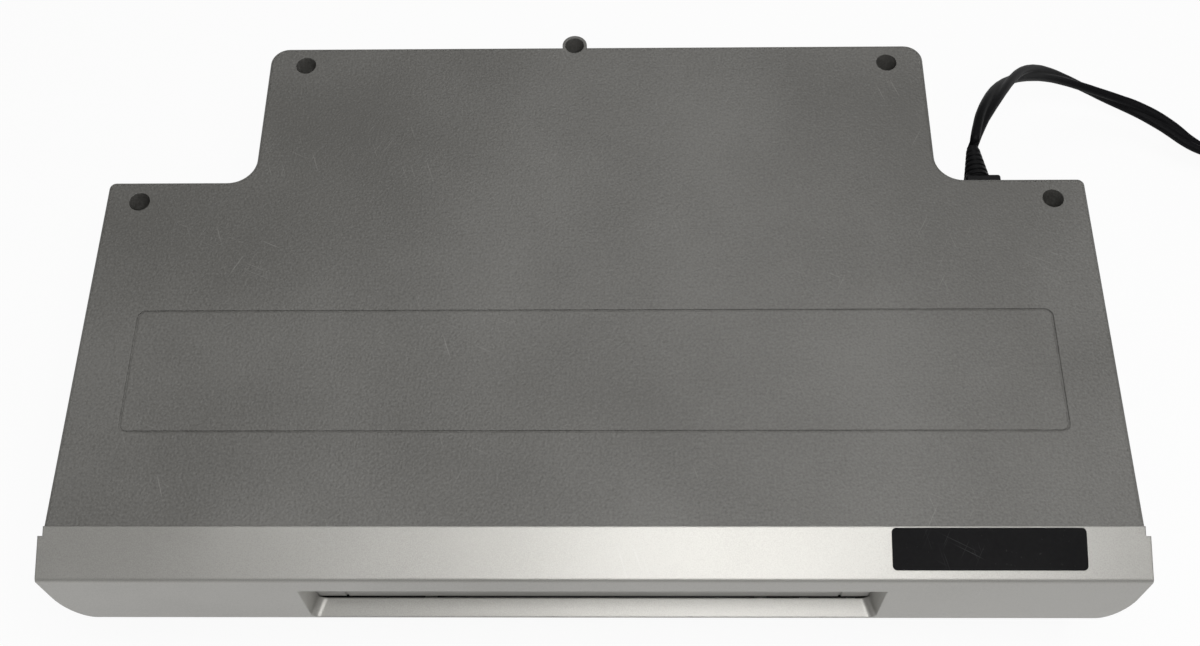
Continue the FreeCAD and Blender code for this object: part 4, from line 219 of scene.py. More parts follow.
def rolled_group() -> bpy.types.NodeTree:
    """Rolled sheet: long faint lines along X for the height, with a slow patchy tone."""
    made = GroupMaker("rolled lines", "Scale")
    stretched = made.node("Mapping", {"Vector": made.place, "Scale": (0.03, 1.0, 1.0)}).outputs[0]
    lines = made.noise(stretched, made.given["Scale"], detail=2.0)
    cloud = made.noise(made.place, scale=30.0, detail=5.0)
    return made.result(Height=lines, Tone=made.weighed(lines, 0.5, cloud, 0.5))


# Finishes


class Texture(Enum):
    """The small-scale texture that a finish carries."""

    SAND = "sand grain"
    ROLLED = "rolled lines"


@dataclass(frozen=True)
class Finish:
    """A finish of one surface: its colours, gloss and grain, and how it has aged; lengths are in metres."""

    name: str
    base: Colour
    tint: Colour
    roughness: float = 0.5
    metallic: float = 0.0
    texture: Texture = Texture.SAND
    scale: float = 1500.0
    bump: float = 0.1
    bump_height: float = 0.00004
    wear: float = 0.0
    wear_colour: Colour = (0.6, 0.6, 0.6)
    edge: float = 0.0004
    scratches: float = 0.0
    scratch_colour: Colour = (0.5, 0.5, 0.5)
    dust: float = 0.0
    coat: float = 0.0
    specular: float = 0.5
    spread: tuple[float, float] = (0.35, 0.65)


class Workshop:
    """Makes each finish once and hands out its material."""

    dust_colour: Colour = (0.42, 0.41, 0.38)
    coat_roughness = 0.12
    gloss_drift = 0.07
    smoothest = 0.03

    def __init__(self) -> None:
        """Build the node groups that the finishes share."""
        self.textures = {Texture.SAND: grain_group(), Texture.ROLLED: rolled_group()}
        self.wear = wear_group()
        self.scratches = scratch_group()
        self.dust = dust_group()
        self.made: dict[str, bpy.types.Material] = {}

    def material(self, finish: Finish) -> bpy.types.Material:
        """Return a finish's material, built at its first use."""
        if finish.name not in self.made:
            self.made[finish.name] = self.build(finish)
        return self.made[finish.name]

    def build(self, finish: Finish) -> bpy.types.Material:
        """Wire one finish: tone between base and tint, then dust, scratches and worn edges over it.

        Args:
            finish: The finish.

        Returns:
            The new material.
        """
        material = bpy.data.materials.new(finish.name)
        material.use_nodes = True
        tree = Wiring(material.node_tree)
        shader = material.node_tree.nodes["Principled BSDF"]
        tree.fill(shader, {"Roughness": finish.roughness, "Metallic": finish.metallic,
                           "Specular IOR Level": finish.specular, "Coat Weight": finish.coat,
                           "Coat Roughness": self.coat_roughness})
        texture = tree.group(self.textures[finish.texture], Scale=finish.scale)
        colour = tree.mix(finish.base, finish.tint, tree.ramp(texture["Tone"], *finish.spread))
        rough = tree.between(texture["Tone"], max(self.smoothest, finish.roughness - self.gloss_drift),
                             min(1.0, finish.roughness + self.gloss_drift))
        if finish.dust > 0:
            colour = tree.mix(colour, self.dust_colour, tree.group(self.dust, Amount=finish.dust)["Mask"])
        if finish.scratches > 0:
            marks = tree.group(self.scratches, Amount=finish.scratches)
            colour = tree.mix(colour, finish.scratch_colour, marks["Mask"])
        bump = tree.node("Bump", {"Strength": finish.bump, "Distance": finish.bump_height,
                                  "Height": texture["Height"]})
        if finish.edge > 0:
            wear = tree.group(self.wear, Radius=finish.edge, Amount=finish.wear)
            tree.fill(bump, {"Normal": wear["Normal"]})
            if finish.wear > 0:
                colour = tree.mix(colour, finish.wear_colour, wear["Mask"])
        tree.fill(shader, {"Base Color": colour, "Roughness": rough, "Normal": bump.outputs[0]})
        return material


metal = partial(Finish, metallic=1.0, texture=Texture.ROLLED)

CASE = Finish("case grey plastic", (0.104, 0.101, 0.093), (0.160, 0.157, 0.147), scale=1150.0, bump=0.9,
              bump_height=0.00022, wear=0.5, wear_colour=(0.25, 0.245, 0.23), edge=0.0006, scratches=0.6,
              scratch_colour=(0.24, 0.235, 0.22), dust=0.10, spread=(0.40, 0.60))
CHASSIS = Finish("chassis black plastic", (0.018, 0.018, 0.019), (0.028, 0.028, 0.029), roughness=0.62,
                 bump=0.5, bump_height=0.0001, wear=0.4, wear_colour=(0.07, 0.07, 0.07))
SILVER = Finish("silver metallic paint", (0.330, 0.322, 0.302), (0.400, 0.392, 0.370), roughness=0.42,
                metallic=0.55, scale=2600.0, bump=0.35, bump_height=0.00006, wear=0.35,
                wear_colour=(0.52, 0.52, 0.50), edge=0.0007, scratches=0.25,
                scratch_colour=(0.50, 0.50, 0.49), dust=0.06, spread=(0.42, 0.58))
# The flap has the same silver paint as the front panel. These colours are lighter than the panel's: painted
# light that makes up for the shade in the slot where the flap is seen.
FLAP_PAINTED_LIGHTER = Finish("silver flap paint with painted light", (0.46, 0.45, 0.425), (0.54, 0.53, 0.505), roughness=0.40, metallic=0.25,
              scale=2600.0, bump=0.3, bump_height=0.00005, wear=0.3, wear_colour=(0.62, 0.62, 0.60),
              scratches=0.3, scratch_colour=(0.66, 0.66, 0.64), spread=(0.42, 0.58))
KEY = Finish("silver key paint", (0.45, 0.45, 0.445), (0.52, 0.52, 0.515), roughness=0.33, metallic=0.4,
             scale=5200.0, bump_height=0.00003, wear=0.5, wear_colour=(0.68, 0.68, 0.67), coat=0.25)
WINDOW = Finish("smoked window", (0.006, 0.006, 0.008), (0.010, 0.010, 0.012), roughness=0.10, scale=300.0,
                bump=0.03, bump_height=0.00002, coat=0.12, specular=0.3, scratches=0.3,
                scratch_colour=(0.05, 0.05, 0.05))
LABEL = Finish("black label film", (0.0055, 0.0055, 0.006), (0.0085, 0.0085, 0.009), roughness=0.62,
               scale=700.0, specular=0.06, bump=0.15, bump_height=0.00003, scratches=0.5,
               scratch_colour=(0.06, 0.06, 0.06), wear=0.4, wear_colour=(0.10, 0.10, 0.095), dust=0.04,
               edge=0.0003)
RUBBER = Finish("foot rubber", (0.016, 0.016, 0.016), (0.030, 0.030, 0.029), roughness=0.86, scale=1100.0,
                bump=0.5, bump_height=0.0001, specular=0.3)
VINYL = Finish("cord vinyl", (0.0045, 0.0045, 0.005), (0.008, 0.008, 0.009), roughness=0.52, scale=1300.0,
               bump=0.12, edge=0.0, specular=0.07)
MOULDED = Finish("moulded black vinyl", (0.006, 0.006, 0.0065), (0.011, 0.011, 0.012), roughness=0.46,
                 bump=0.3, bump_height=0.00006, specular=0.12)
BLACK = Finish("black plastic", (0.015, 0.015, 0.016), (0.026, 0.026, 0.027), scale=1400.0, bump=0.25,
               bump_height=0.00005)
ZINC = metal("zinc plated sheet", (0.44, 0.45, 0.45), (0.56, 0.57, 0.56), roughness=0.34, scale=900.0,
             bump=0.2, bump_height=0.00003, wear=0.3, wear_colour=(0.75, 0.75, 0.74), edge=0.0002)
# The screw heads are dark browned steel. This colour is partly that finish and partly painted light: it is
# lighter than the real head so that the head shows in the shade of its deep well.
DARK_SCREW = Finish("browned screw with painted light", (0.150, 0.125, 0.110), (0.240, 0.205, 0.185), roughness=0.42,
                    metallic=0.8, texture=Texture.ROLLED, scale=2500.0, bump=0.3, edge=0.0001)
SCREW = metal("zinc plated screw", (0.40, 0.40, 0.38), (0.52, 0.52, 0.50), roughness=0.36, scale=2500.0,
              bump=0.2, bump_height=0.00003, edge=0.0001)
TIN = metal("tin plate", (0.58, 0.58, 0.55), (0.70, 0.70, 0.67), roughness=0.28, scale=500.0, bump=0.15,
            bump_height=0.00003, edge=0.0002)
BOARD = Finish("green board", (0.022, 0.082, 0.030), (0.034, 0.110, 0.042), roughness=0.35, scale=420.0,
               bump=0.2, coat=0.3, spread=(0.47, 0.53), edge=0.0)
PHENOLIC = Finish("tan board", (0.30, 0.185, 0.075), (0.36, 0.23, 0.10), roughness=0.55, scale=800.0,
                  bump=0.2, edge=0.0)
LAMINATION = Finish("varnished core", (0.030, 0.030, 0.032), (0.065, 0.064, 0.062), metallic=0.6,
                    texture=Texture.ROLLED, scale=1800.0, bump=0.4, bump_height=0.0001)
DRUM = metal("turned aluminium", (0.66, 0.67, 0.68), (0.76, 0.77, 0.78), roughness=0.16, bump=0.06,
             bump_height=0.00002, edge=0.0002)
STEEL = metal("ground steel", (0.55, 0.55, 0.56), (0.66, 0.66, 0.67), roughness=0.14, bump=0.05,
              bump_height=0.00002, edge=0.0001)
NICKEL = metal("nickel plate", (0.60, 0.57, 0.50), (0.70, 0.67, 0.61), roughness=0.20, scale=900.0, bump=0.08,
               bump_height=0.00002, edge=0.0001)
IVORY = Finish("ivory plastic", (0.60, 0.57, 0.48), (0.68, 0.65, 0.56), roughness=0.4, scale=900.0)
YELLOW = Finish("yellow plastic", (0.72, 0.46, 0.03), (0.80, 0.54, 0.05), roughness=0.4, scale=900.0)
PRINT = Finish("dark print", (0.020, 0.020, 0.022), (0.035, 0.035, 0.037), roughness=0.45, scale=2500.0,
               edge=0.0)
RED_PRINT = Finish("red print", (0.42, 0.020, 0.018), (0.50, 0.030, 0.025), roughness=0.45, scale=2500.0,
                   edge=0.0)
ACETAL = Finish("white acetal", (0.62, 0.61, 0.57), (0.70, 0.69, 0.65), roughness=0.42, scale=900.0,
                bump=0.15, edge=0.0002)
ROLLER = Finish("ground rubber", (0.014, 0.014, 0.015), (0.024, 0.024, 0.024), roughness=0.8, scale=1900.0,
                bump=0.4, bump_height=0.00006, specular=0.3)

NODE_FINISH: dict[Finish, str] = {
    CASE: "top_case",
    CHASSIS: "bottom_chassis",
    SILVER: "front_panel",
    FLAP_PAINTED_LIGHTER: "cassette_door",
    KEY: "button_power button_eject button_rewind button_play button_forward button_record button_channel_up "
         "button_channel_down",
    WINDOW: "display_window",
    LABEL: "blank_label",
    RUBBER: "feet",
    MOULDED: "cord_bushing mains_plug cord_tie",
    VINYL: "power_cord cord_coil",
    BLACK: "tact_switches display_module front_jacks rear_jacks channel_switch board_components supply_reel "
           "takeup_reel",
    ZINC: "bottom_plate deck_plate bracket_left bracket_right cassette_tray carriage_slider idler_arm "
          "pinch_arm",
    DARK_SCREW: "case_screws",
    SCREW: "small_screws",
    TIN: "tuner_box jack_plate loading_motor erase_head drum_motor capstan_motor",
    BOARD: "main_board",
    PHENOLIC: "front_board",
    LAMINATION: "transformer",
    DRUM: "lower_drum upper_drum",
    STEEL: "capstan audio_head",
    NICKEL: "supply_guide_arm takeup_guide_arm",
    ACETAL: "cam_gear motor_pinion clutch_pulley idler_wheel",
    ROLLER: "pinch_roller drive_belt",
}


# Meshes from whole arrays


def in_scene(name: str, data: bpy.types.ID) -> Piece:
    """Put new data in the scene as an object."""
    made = bpy.data.objects.new(name, data)
    bpy.context.collection.objects.link(made)
    return made


def mesh_object(name: str, points: Array, faces: Sequence[Sequence[int]], material: bpy.types.Material,
                smooth: bool) -> Piece:
    """Make a piece of points in metres and faces that name them."""
    mesh = bpy.data.meshes.new(name)
    mesh.from_pydata(points.tolist(), [], faces)
    mesh.update()
    if smooth:
        mesh.shade_smooth()
    else:
        mesh.shade_flat()
    mesh.materials.append(material)
    return in_scene(name, mesh)


def grid_object(name: str, points: Array, material: bpy.types.Material, *, around: bool = True,
                closed: bool = False, smooth: bool = True) -> Piece:
    """Make a piece from a grid of points: rows along the first index, columns along the second.

    Args:
        name: Name of the piece.
        points: Array of shape rows, columns, 3, in metres.
        material: The piece's material.
        around: Whether the last column joins the first.
        closed: Whether the last row joins the first; if not, a tube's two ends get one face each.
        smooth: Whether the faces are shaded smooth.

    Returns:
        The new object.
    """
    rows, columns = points.shape[:2]
    index = np.arange(rows * columns).reshape(rows, columns)
    here = index if closed else index[:-1]
    there = np.roll(index, -1, axis=0) if closed else index[1:]
    if around:
        quads = np.stack([here, np.roll(here, -1, axis=1), np.roll(there, -1, axis=1), there], axis=-1)
    else:
        quads = np.stack([here[:, :-1], here[:, 1:], there[:, 1:], there[:, :-1]], axis=-1)
    faces = quads.reshape(-1, 4).tolist()
    if around and not closed:
        faces += [index[0][::-1].tolist(), index[-1].tolist()]
    return mesh_object(name, points.reshape(-1, 3), faces, material, smooth)


def unit(vectors: Array) -> Array:
    """Bring vectors, along the last index, to unit length."""
    return vectors / np.linalg.norm(vectors, axis=-1, keepdims=True)


def frame_of(way: Point) -> tuple[Array, Array, Array]:
    """Return a direction and two more square to it, all of unit length."""
    axis = unit(np.array(way))
    first = unit(np.cross(axis, UP))
    return axis, first, np.cross(axis, first)


def turned(name: str, profile: Outline, start: Point, way: Point, material: bpy.types.Material, *,
           steps: int = 40, smooth: bool = True) -> Piece:
    """Turn a closed profile about a level axis: each point (a, r) is a circle of radius r at the distance a.

    Args:
        name: Name of the piece.
        profile: Distances along the axis and radii, in millimetres.
        start: Where the axis starts, in millimetres.
        way: Direction of the axis.
        material: The piece's material.
        steps: Points round each circle; 6 gives a nut.
        smooth: Whether the faces are shaded smooth.

    Returns:
        The new object.
    """
    axis, first, second = frame_of(way)
    line = np.array(profile)
    angle = np.linspace(0.0, TURN, steps, endpoint=False)
    circle = np.cos(angle)[:, None] * first + np.sin(angle)[:, None] * second
    points = np.array(start) + line[:, None, :1] * axis + line[:, None, 1:] * circle[None]
    return grid_object(name, points * MM, material, closed=True, smooth=smooth)


def lofted(name: str, sections: Sequence[Sequence[float]], start: Point, way: Point,
           material: bpy.types.Material) -> Piece:
    """Carry a superellipse |u/a|^n + |v/b|^n = 1 along a level axis.

    Args:
        name: Name of the piece.
        sections: Distance, half width a, half height b and exponent n of each section, in millimetres.
        start: Where the axis starts, in millimetres.
        way: Direction of the axis.
        material: The piece's material.

    Returns:
        The new object.
    """
    steps = 48
    axis, first, second = frame_of(way)
    rows = np.array(sections)
    angle = np.linspace(0.0, TURN, steps, endpoint=False) + math.pi / steps
    power = 2.0 / rows[:, 3:4]
    wide = rows[:, 1:2] * np.sign(np.cos(angle)) * np.abs(np.cos(angle)) ** power
    tall = rows[:, 2:3] * np.sign(np.sin(angle)) * np.abs(np.sin(angle)) ** power
    points = np.array(start) + rows[:, None, :1] * axis + wide[..., None] * first + tall[..., None] * second
    return grid_object(name, points * MM, material)


def swept(name: str, line: Array, radius: float, material: bpy.types.Material) -> Piece:
    """Carry a small circle along a line of points, all in millimetres."""
    steps = 8
    along = unit(np.gradient(line, axis=0))
    never_along = np.array([0.31, 0.22, 0.93])
    first = unit(np.cross(along, never_along))
    second = np.cross(along, first)
    angle = np.linspace(0.0, TURN, steps, endpoint=False)[None, :, None]
    points = line[:, None] + radius * (np.cos(angle) * first[:, None] + np.sin(angle) * second[:, None])
    return grid_object(name, points * MM, material)


def plates(name: str, shapes: Iterable[Outline], thickness: float, origin: Point, across: Point, up: Point,
           material: bpy.types.Material) -> Piece:
    """Thin printed shapes on a flat face: each outline, its copy one thickness further out, and the rim.

    Args:
        name: Name of the piece.
        shapes: Outlines as points across and up, in millimetres, counter-clockwise.
        thickness: Height of the print in millimetres.
        origin: Where the outlines' zero lies, in millimetres.
        across: Direction of their first number.
        up: Direction of their second number.
        material: The piece's material.

    Returns:
        The new object.
    """
    across, up = np.array(across), np.array(up)
    out = np.cross(across, up)
    points, faces, first = [], [], 0
    for shape in shapes:
        flat = np.array(shape)
        base = np.array(origin) + flat[:, :1] * across + flat[:, 1:] * up
        points += [base, base + out * thickness]
        count = len(flat)
        ring = first + np.arange(count)
        follow = np.roll(ring, -1)
        faces += [ring[::-1].tolist(), (ring + count).tolist()]
        faces += np.stack([ring, follow, follow + count, ring + count], axis=1).tolist()
        first += 2 * count
    return mesh_object(name, np.concatenate(points) * MM, faces, material, smooth=False)


def place_on(piece: Piece, body: str, slot: str, *replaced: str) -> Piece:
    """Let a finished piece ride on a body and hide the nodes that it stands for.

    Args:
        piece: The piece.
        body: The body that carries it.
        slot: A material slot name; not used.
        replaced: CAD nodes that it stands for.

    Returns:
        The piece.
    """
    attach(piece, body)
    if replaced:
        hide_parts(*replaced)
    log.info("%s rides on %s", piece.name, body)
    return piece


# Fine detail outside


@dataclass
class RearSockets:
    """Rings, barrels, threads and insulators on the sockets at the back, in millimetres.

    The ring and the nut are given as heights over the plate and radii, the lips as heights past the end of
    the barrel and distances beyond its radius. A disc has the radius of its hole, its inset from the barrel
    and its height past the end.
    """

    workshop: Workshop
    plate: float = 41.85
    phono_x: float = -142.5
    phono_z: tuple[float, ...] = (22.0, 36.0, 50.0, 64.0)
    phono_end: float = 50.8
    phono_radius: float = 4.15
    phono_lip: tuple[tuple[float, float], ...] = (
        (-0.35, 0.03), (0.0, -0.12), (0.03, -0.35), (0.03, -0.95), (-0.2, -1.0))
    phono_disc: tuple[float, float, float] = (1.75, 0.9, 0.015)
    phono_foot: float = 1.0
    ring: tuple[tuple[float, float], ...] = (
        (0.0, 4.2), (0.0, 5.5), (0.2, 5.7), (1.7, 5.7), (2.1, 5.5), (2.3, 5.1), (2.3, 4.2))
    aerial_x: float = -155.0
    aerial_z: tuple[float, ...] = (25.0, 45.0)
    aerial_end: float = 51.8
    aerial_radius: float = 4.7
    aerial_lip: tuple[tuple[float, float], ...] = ((-0.3, 0.02), (0.02, -0.2), (0.02, -0.8), (-0.2, -0.9))
    aerial_disc: tuple[float, float, float] = (1.15, 0.85, 0.012)
    nut: tuple[tuple[float, float], ...] = (
        (0.0, 4.8), (0.0, 5.9), (0.25, 6.3), (1.5, 6.3), (1.8, 5.8), (1.8, 4.8))
    thread_pitch: float = 0.9
    thread_depth: float = 0.16
    thread_ends: tuple[float, float] = (0.1, 0.5)
    wall: float = 0.3

    def fit(self, name: str, profile: Outline, x: float, z: float, finish: Finish, slot: str,
            **how: object) -> None:
        """Turn a profile about the axis of a socket and let it ride on the chassis.

        Args:
            name: Name of the piece.
            profile: Y and radius of each point.
            x: X of the socket.
            z: Z of the socket.
            finish: The piece's finish.
            slot: A material slot name, passed to place_on, which does not use it.
            how: Options of turned.
        """
        piece = turned(name, profile, (x, 0.0, z), TO_BACK, self.workshop.material(finish), **how)
        place_on(piece, "chassis", slot)

    def on_plate(self, profile: Iterable[tuple[float, float]]) -> Outline:
        """Profile with its heights over the plate turned into Y."""
        return [(self.plate + height, radius) for height, radius in profile]

    @staticmethod
    def insulator(end: float, barrel: float, disc: tuple[float, float, float]) -> Outline:
        """Profile of the white disc in a barrel's mouth, with a chamfered hole for the pin."""
        depth, chamfer = 0.1, 0.13
        hole, inset, proud = disc
        rim = barrel - inset
        return [(end - depth, hole - chamfer), (end + proud, hole), (end + proud, rim), (end - depth, rim)]

    def phono(self, index: int, z: float) -> None:
        """One phono socket: a coloured ring on the plate, a metal barrel with a rolled lip, the insulator."""
        colour = YELLOW if index % 2 == 0 else IVORY
        self.fit("phono_ring_%d" % index, self.on_plate(self.ring), self.phono_x, z, colour, "white_plastic")
        radius, end, foot = self.phono_radius, self.phono_end, self.plate + self.phono_foot
        barrel = [(foot, radius - self.wall), (foot, radius + self.phono_lip[0][1])]
        barrel += [(end + past, radius + out) for past, out in self.phono_lip]
        self.fit("phono_barrel_%d" % index, barrel, self.phono_x, z, NICKEL, "nickel")
        disc = self.insulator(end, radius, self.phono_disc)
        self.fit("phono_insulator_%d" % index, disc, self.phono_x, z, ACETAL, "white_plastic")

    def aerial(self, index: int, z: float) -> None:
        """One aerial socket: a nut on the plate, a barrel with a cut thread, the insulator."""
        radius, end, nut = self.aerial_radius, self.aerial_end, self.on_plate(self.nut)
        self.fit("aerial_nut_%d" % index, nut, self.aerial_x, z, NICKEL, "nickel", steps=6, smooth=False)
        foot = nut[-1][0]
        along = np.arange(foot + self.thread_ends[0], end - self.thread_ends[1], self.thread_pitch / 4)
        wave = np.abs(((along / self.thread_pitch) % 1.0) * 2 - 1)
        crest = radius + self.aerial_lip[0][1] + self.thread_depth * wave
        thread = [(foot, radius - self.wall), *zip(along, crest)]
        thread += [(end + past, radius + out) for past, out in self.aerial_lip]
        self.fit("aerial_barrel_%d" % index, thread, self.aerial_x, z, NICKEL, "nickel")
        disc = self.insulator(end, radius, self.aerial_disc)
        self.fit("aerial_insulator_%d" % index, disc, self.aerial_x, z, ACETAL, "white_plastic")

    def build(self) -> None:
        """Dress all six sockets."""
        for index, z in enumerate(self.phono_z, 1):
            self.phono(index, z)
        for index, z in enumerate(self.aerial_z, 1):
            self.aerial(index, z)


@dataclass
class MainsPlug:
    """The moulded two-blade plug at the end of the lead, in millimetres.

    The grip gives the share of its length and of its half width and height at each section. The tip of a
    blade gives the distance from its end and the shares of its width and thickness.
    """

    workshop: Workshop
    middle: tuple[float, float] = (355.25, 11.8)
    start: float = 47.15
    neck: float = 12.0
    neck_radius: tuple[float, float] = (3.5, 4.8)
    neck_steps: int = 24
    groove: float = 0.55
    length: float = 28.0
    half_width: float = 9.75
    half_height: float = 11.8
    grip: tuple[tuple[float, float], ...] = (
        (0.03, 0.70), (0.08, 0.86), (0.16, 0.93), (0.28, 0.93), (0.42, 0.90), (0.58, 0.89), (0.72, 0.92),
        (0.82, 0.95), (0.86, 0.96), (0.90, 1.0), (0.97, 1.0), (1.0, 0.97))
    blade: tuple[float, float, float] = (6.35, 1.5, 16.0)
    blade_root: float = 0.6
    blade_tip: tuple[tuple[float, float, float], ...] = (
        (2.4, 1.0, 1.0), (1.2, 0.92, 0.95), (0.4, 0.78, 0.8), (0.0, 0.6, 0.5))
    blade_pitch: float = 12.7

    def sections(self) -> list[Sequence[float]]:
        """Neck with ring grooves, then the grip with its waist and the flange at its face."""
        neck_power, grip_power = 2.2, 4.2
        rows = []
        slim, wide = self.neck_radius
        for step in range(self.neck_steps + 1):
            share = step / self.neck_steps
            grooved = step % 6 in (3, 4) and step < self.neck_steps - 1
            radius = slim + (wide - slim) * share - (self.groove if grooved else 0.0)
            rows.append((self.neck * share, radius, radius, neck_power))
        for part, grow in self.grip:
            along = self.neck + self.length * part
            rows.append((along, self.half_width * grow, self.half_height * grow, grip_power))
        return rows

    def build(self) -> list[Piece]:
        """Build the body and its two blades, and return them."""
        x, z = self.middle
        moulded, nickel = self.workshop.material(MOULDED), self.workshop.material(NICKEL)
        body = lofted("plug_body", self.sections(), (x, self.start, z), TO_FRONT, moulded)
        pieces = [place_on(body, "chassis", "cord_vinyl", "mains_plug")]
        width, thickness, reach = self.blade
        blade_power = 7.0
        sections = [(-self.blade_root, width / 2, thickness / 2, blade_power)]
        sections += [(reach - back, width / 2 * wide, thickness / 2 * thick, blade_power)
                     for back, wide, thick in self.blade_tip]
        face = self.start - self.neck - self.length
        for index, side in enumerate((-1, 1), 1):
            root = (x, face, z + side * self.blade_pitch / 2)
            blade = lofted("plug_blade_%d" % index, sections, root, TO_FRONT, nickel)
            pieces.append(place_on(blade, "chassis", "nickel"))
        return pieces


@dataclass
class CoilTie:
    """The wire tie round the coil's left side: a flat loop and its two twisted ends, in millimetres."""

    workshop: Workshop
    left: float = 268.5
    right: float = 287.0
    low: float = 0.75
    high: float = 15.8
    y: float = 69.15
    corner: float = 2.0
    half_width: float = 2.2
    half_thickness: float = 0.4
    band_steps: int = 16
    band_squareness: float = 0.4
    core: float = 0.6
    wire_radius: float = 0.55
    twist_length: float = 14.0
    twist_turns: float = 3.5
    twist_radius: float = 0.75
    twist_rise: float = 1.2
    flatten: float = 0.8
    splay: float = 1.6

    def loop_line(self) -> Array:
        """A rounded rectangle of four quarter circles, as points in X and Z."""
        quarter = np.linspace(0.0, math.pi / 2, 7)
        left, right = self.left + self.corner, self.right - self.corner
        low, high = self.low + self.corner, self.high - self.corner
        quarters = []
        for index, (x, z) in enumerate([(right, high), (left, high), (left, low), (right, low)]):
            angle = quarter + math.pi / 2 * index
            quarters.append((x, z) + self.corner * np.stack([np.cos(angle), np.sin(angle)], axis=1))
        return np.concatenate(quarters)

    def build(self) -> list[Piece]:
        """Build the loop as a flat band with a core and the ends as two twisted wires, and return them."""
        line = self.loop_line()
        along = unit(np.roll(line, -1, axis=0) - np.roll(line, 1, axis=0))
        angle = np.linspace(0.0, TURN, self.band_steps, endpoint=False)
        wide = self.half_width * np.sign(np.cos(angle)) * np.abs(np.cos(angle)) ** self.band_squareness
        thick = self.half_thickness * np.sin(angle) * (1.0 + self.core * np.abs(np.sin(angle)) ** 3)
        x = line[:, None, 0] + thick * along[:, None, 1]
        z = line[:, None, 1] - thick * along[:, None, 0]
        points = np.stack([x, np.broadcast_to(self.y + wide, x.shape), z], axis=-1)
        material = self.workshop.material(MOULDED)
        band = grid_object("tie_band", points[:, ::-1] * MM, material, closed=True)
        pieces = [place_on(band, "chassis", "black_plastic", "cord_tie")]
        run = np.linspace(0.0, 1.0, 60)
        splayed_from = 0.85
        reach = self.twist_radius + self.splay * np.clip(run - splayed_from, 0.0, 1.0) / (1.0 - splayed_from)
        for side in (0, 1):
            turn = TURN * self.twist_turns * run + math.pi * side
            x = (self.left + self.right) / 2 + self.twist_length * run
            z = self.high + self.twist_rise + reach * np.sin(turn) * self.flatten
            wire = np.stack([x, self.y + reach * np.cos(turn), z], axis=1)
            end = swept("tie_end_%d" % (side + 1), wire, self.wire_radius, material)
            pieces.append(place_on(end, "chassis", "black_plastic"))
        return pieces


@dataclass
class KeyLegends:
    """Printed transport symbols on the key caps, drawn on the leaning lower panel, in millimetres."""

    workshop: Workshop
    foot: tuple[float, float] = (-93.1, 6.0)
    lean: tuple[float, float] = (14.5, 44.6)
    proud: float = 1.21
    thickness: float = 0.05
    size: float = 1.5
    keys: dict[str, tuple[float, float]] = field(default_factory=lambda: {
        "power": (-112.0, 16.0), "eject": (76.0, 16.0), "rewind": (93.0, 16.0), "play": (110.0, 16.0),
        "forward": (127.0, 16.0), "record": (144.0, 16.0), "channel_up": (161.0, 20.5),
        "channel_down": (161.0, 10.5)})

    def symbols(self) -> dict[str, list[Outline]]:
        """Closed outlines of each key's symbol, counter-clockwise."""
        s = self.size
        right = [(-0.6 * s, -s), (s, 0.0), (-0.6 * s, s)]
        left = [(0.6 * s, s), (-s, 0.0), (0.6 * s, -s)]
        up = [(-s, -0.6 * s), (s, -0.6 * s), (0.0, s)]
        down = [(-s, 0.6 * s), (0.0, -s), (s, 0.6 * s)]
        under = [(-s, -s), (s, -s), (s, -0.65 * s), (-s, -0.65 * s)]
        bar = [(-0.13 * s, 0.1 * s), (0.13 * s, 0.1 * s), (0.13 * s, 1.15 * s), (-0.13 * s, 1.15 * s)]
        half_gap = math.radians(35)
        round_gap = np.linspace(TURN / 4 + half_gap, TURN * 5 / 4 - half_gap, 30)
        outer, inner = self.arc(s, round_gap), self.arc(0.75 * s, round_gap)
        ring = [[outer[i], outer[i + 1], inner[i + 1], inner[i]] for i in range(len(round_gap) - 1)]
        return {"play": [right], "channel_up": [up], "channel_down": [down],
                "rewind": [self.shifted(left, -0.75 * s), self.shifted(left, 0.75 * s)],
                "forward": [self.shifted(right, -0.75 * s), self.shifted(right, 0.75 * s)],
                "eject": [self.shifted(up, 0.0, 0.35 * s), under],
                "record": [self.arc(0.85 * s, np.linspace(0.0, TURN, 28, endpoint=False))],
                "power": [*ring, bar]}

    @staticmethod
    def shifted(shape: Outline, x: float, y: float = 0.0) -> Outline:
        """Return the outline moved by x and y."""
        return [(a + x, b + y) for a, b in shape]

    @staticmethod
    def arc(radius: float, angles: Array) -> Outline:
        """Return points at a radius round zero."""
        return [(radius * math.cos(angle), radius * math.sin(angle)) for angle in angles]

    def build(self) -> None:
        """Print each key's symbol on its cap."""
        angle = math.atan2(*self.lean)
        up = (0.0, -math.sin(angle), math.cos(angle))
        inward = (0.0, math.cos(angle), math.sin(angle))
        symbols = self.symbols()
        for key, (x, z) in self.keys.items():
            origin = (x, self.foot[0] + up[1] * z - inward[1] * self.proud,
                      self.foot[1] + up[2] * z - inward[2] * self.proud)
            finish = RED_PRINT if key == "record" else PRINT
            piece = plates("legend_" + key, symbols[key], self.thickness, origin, ALONG_X, up,
                           self.workshop.material(finish))
            place_on(piece, "key_" + key, "black_plastic")


# The mains lead


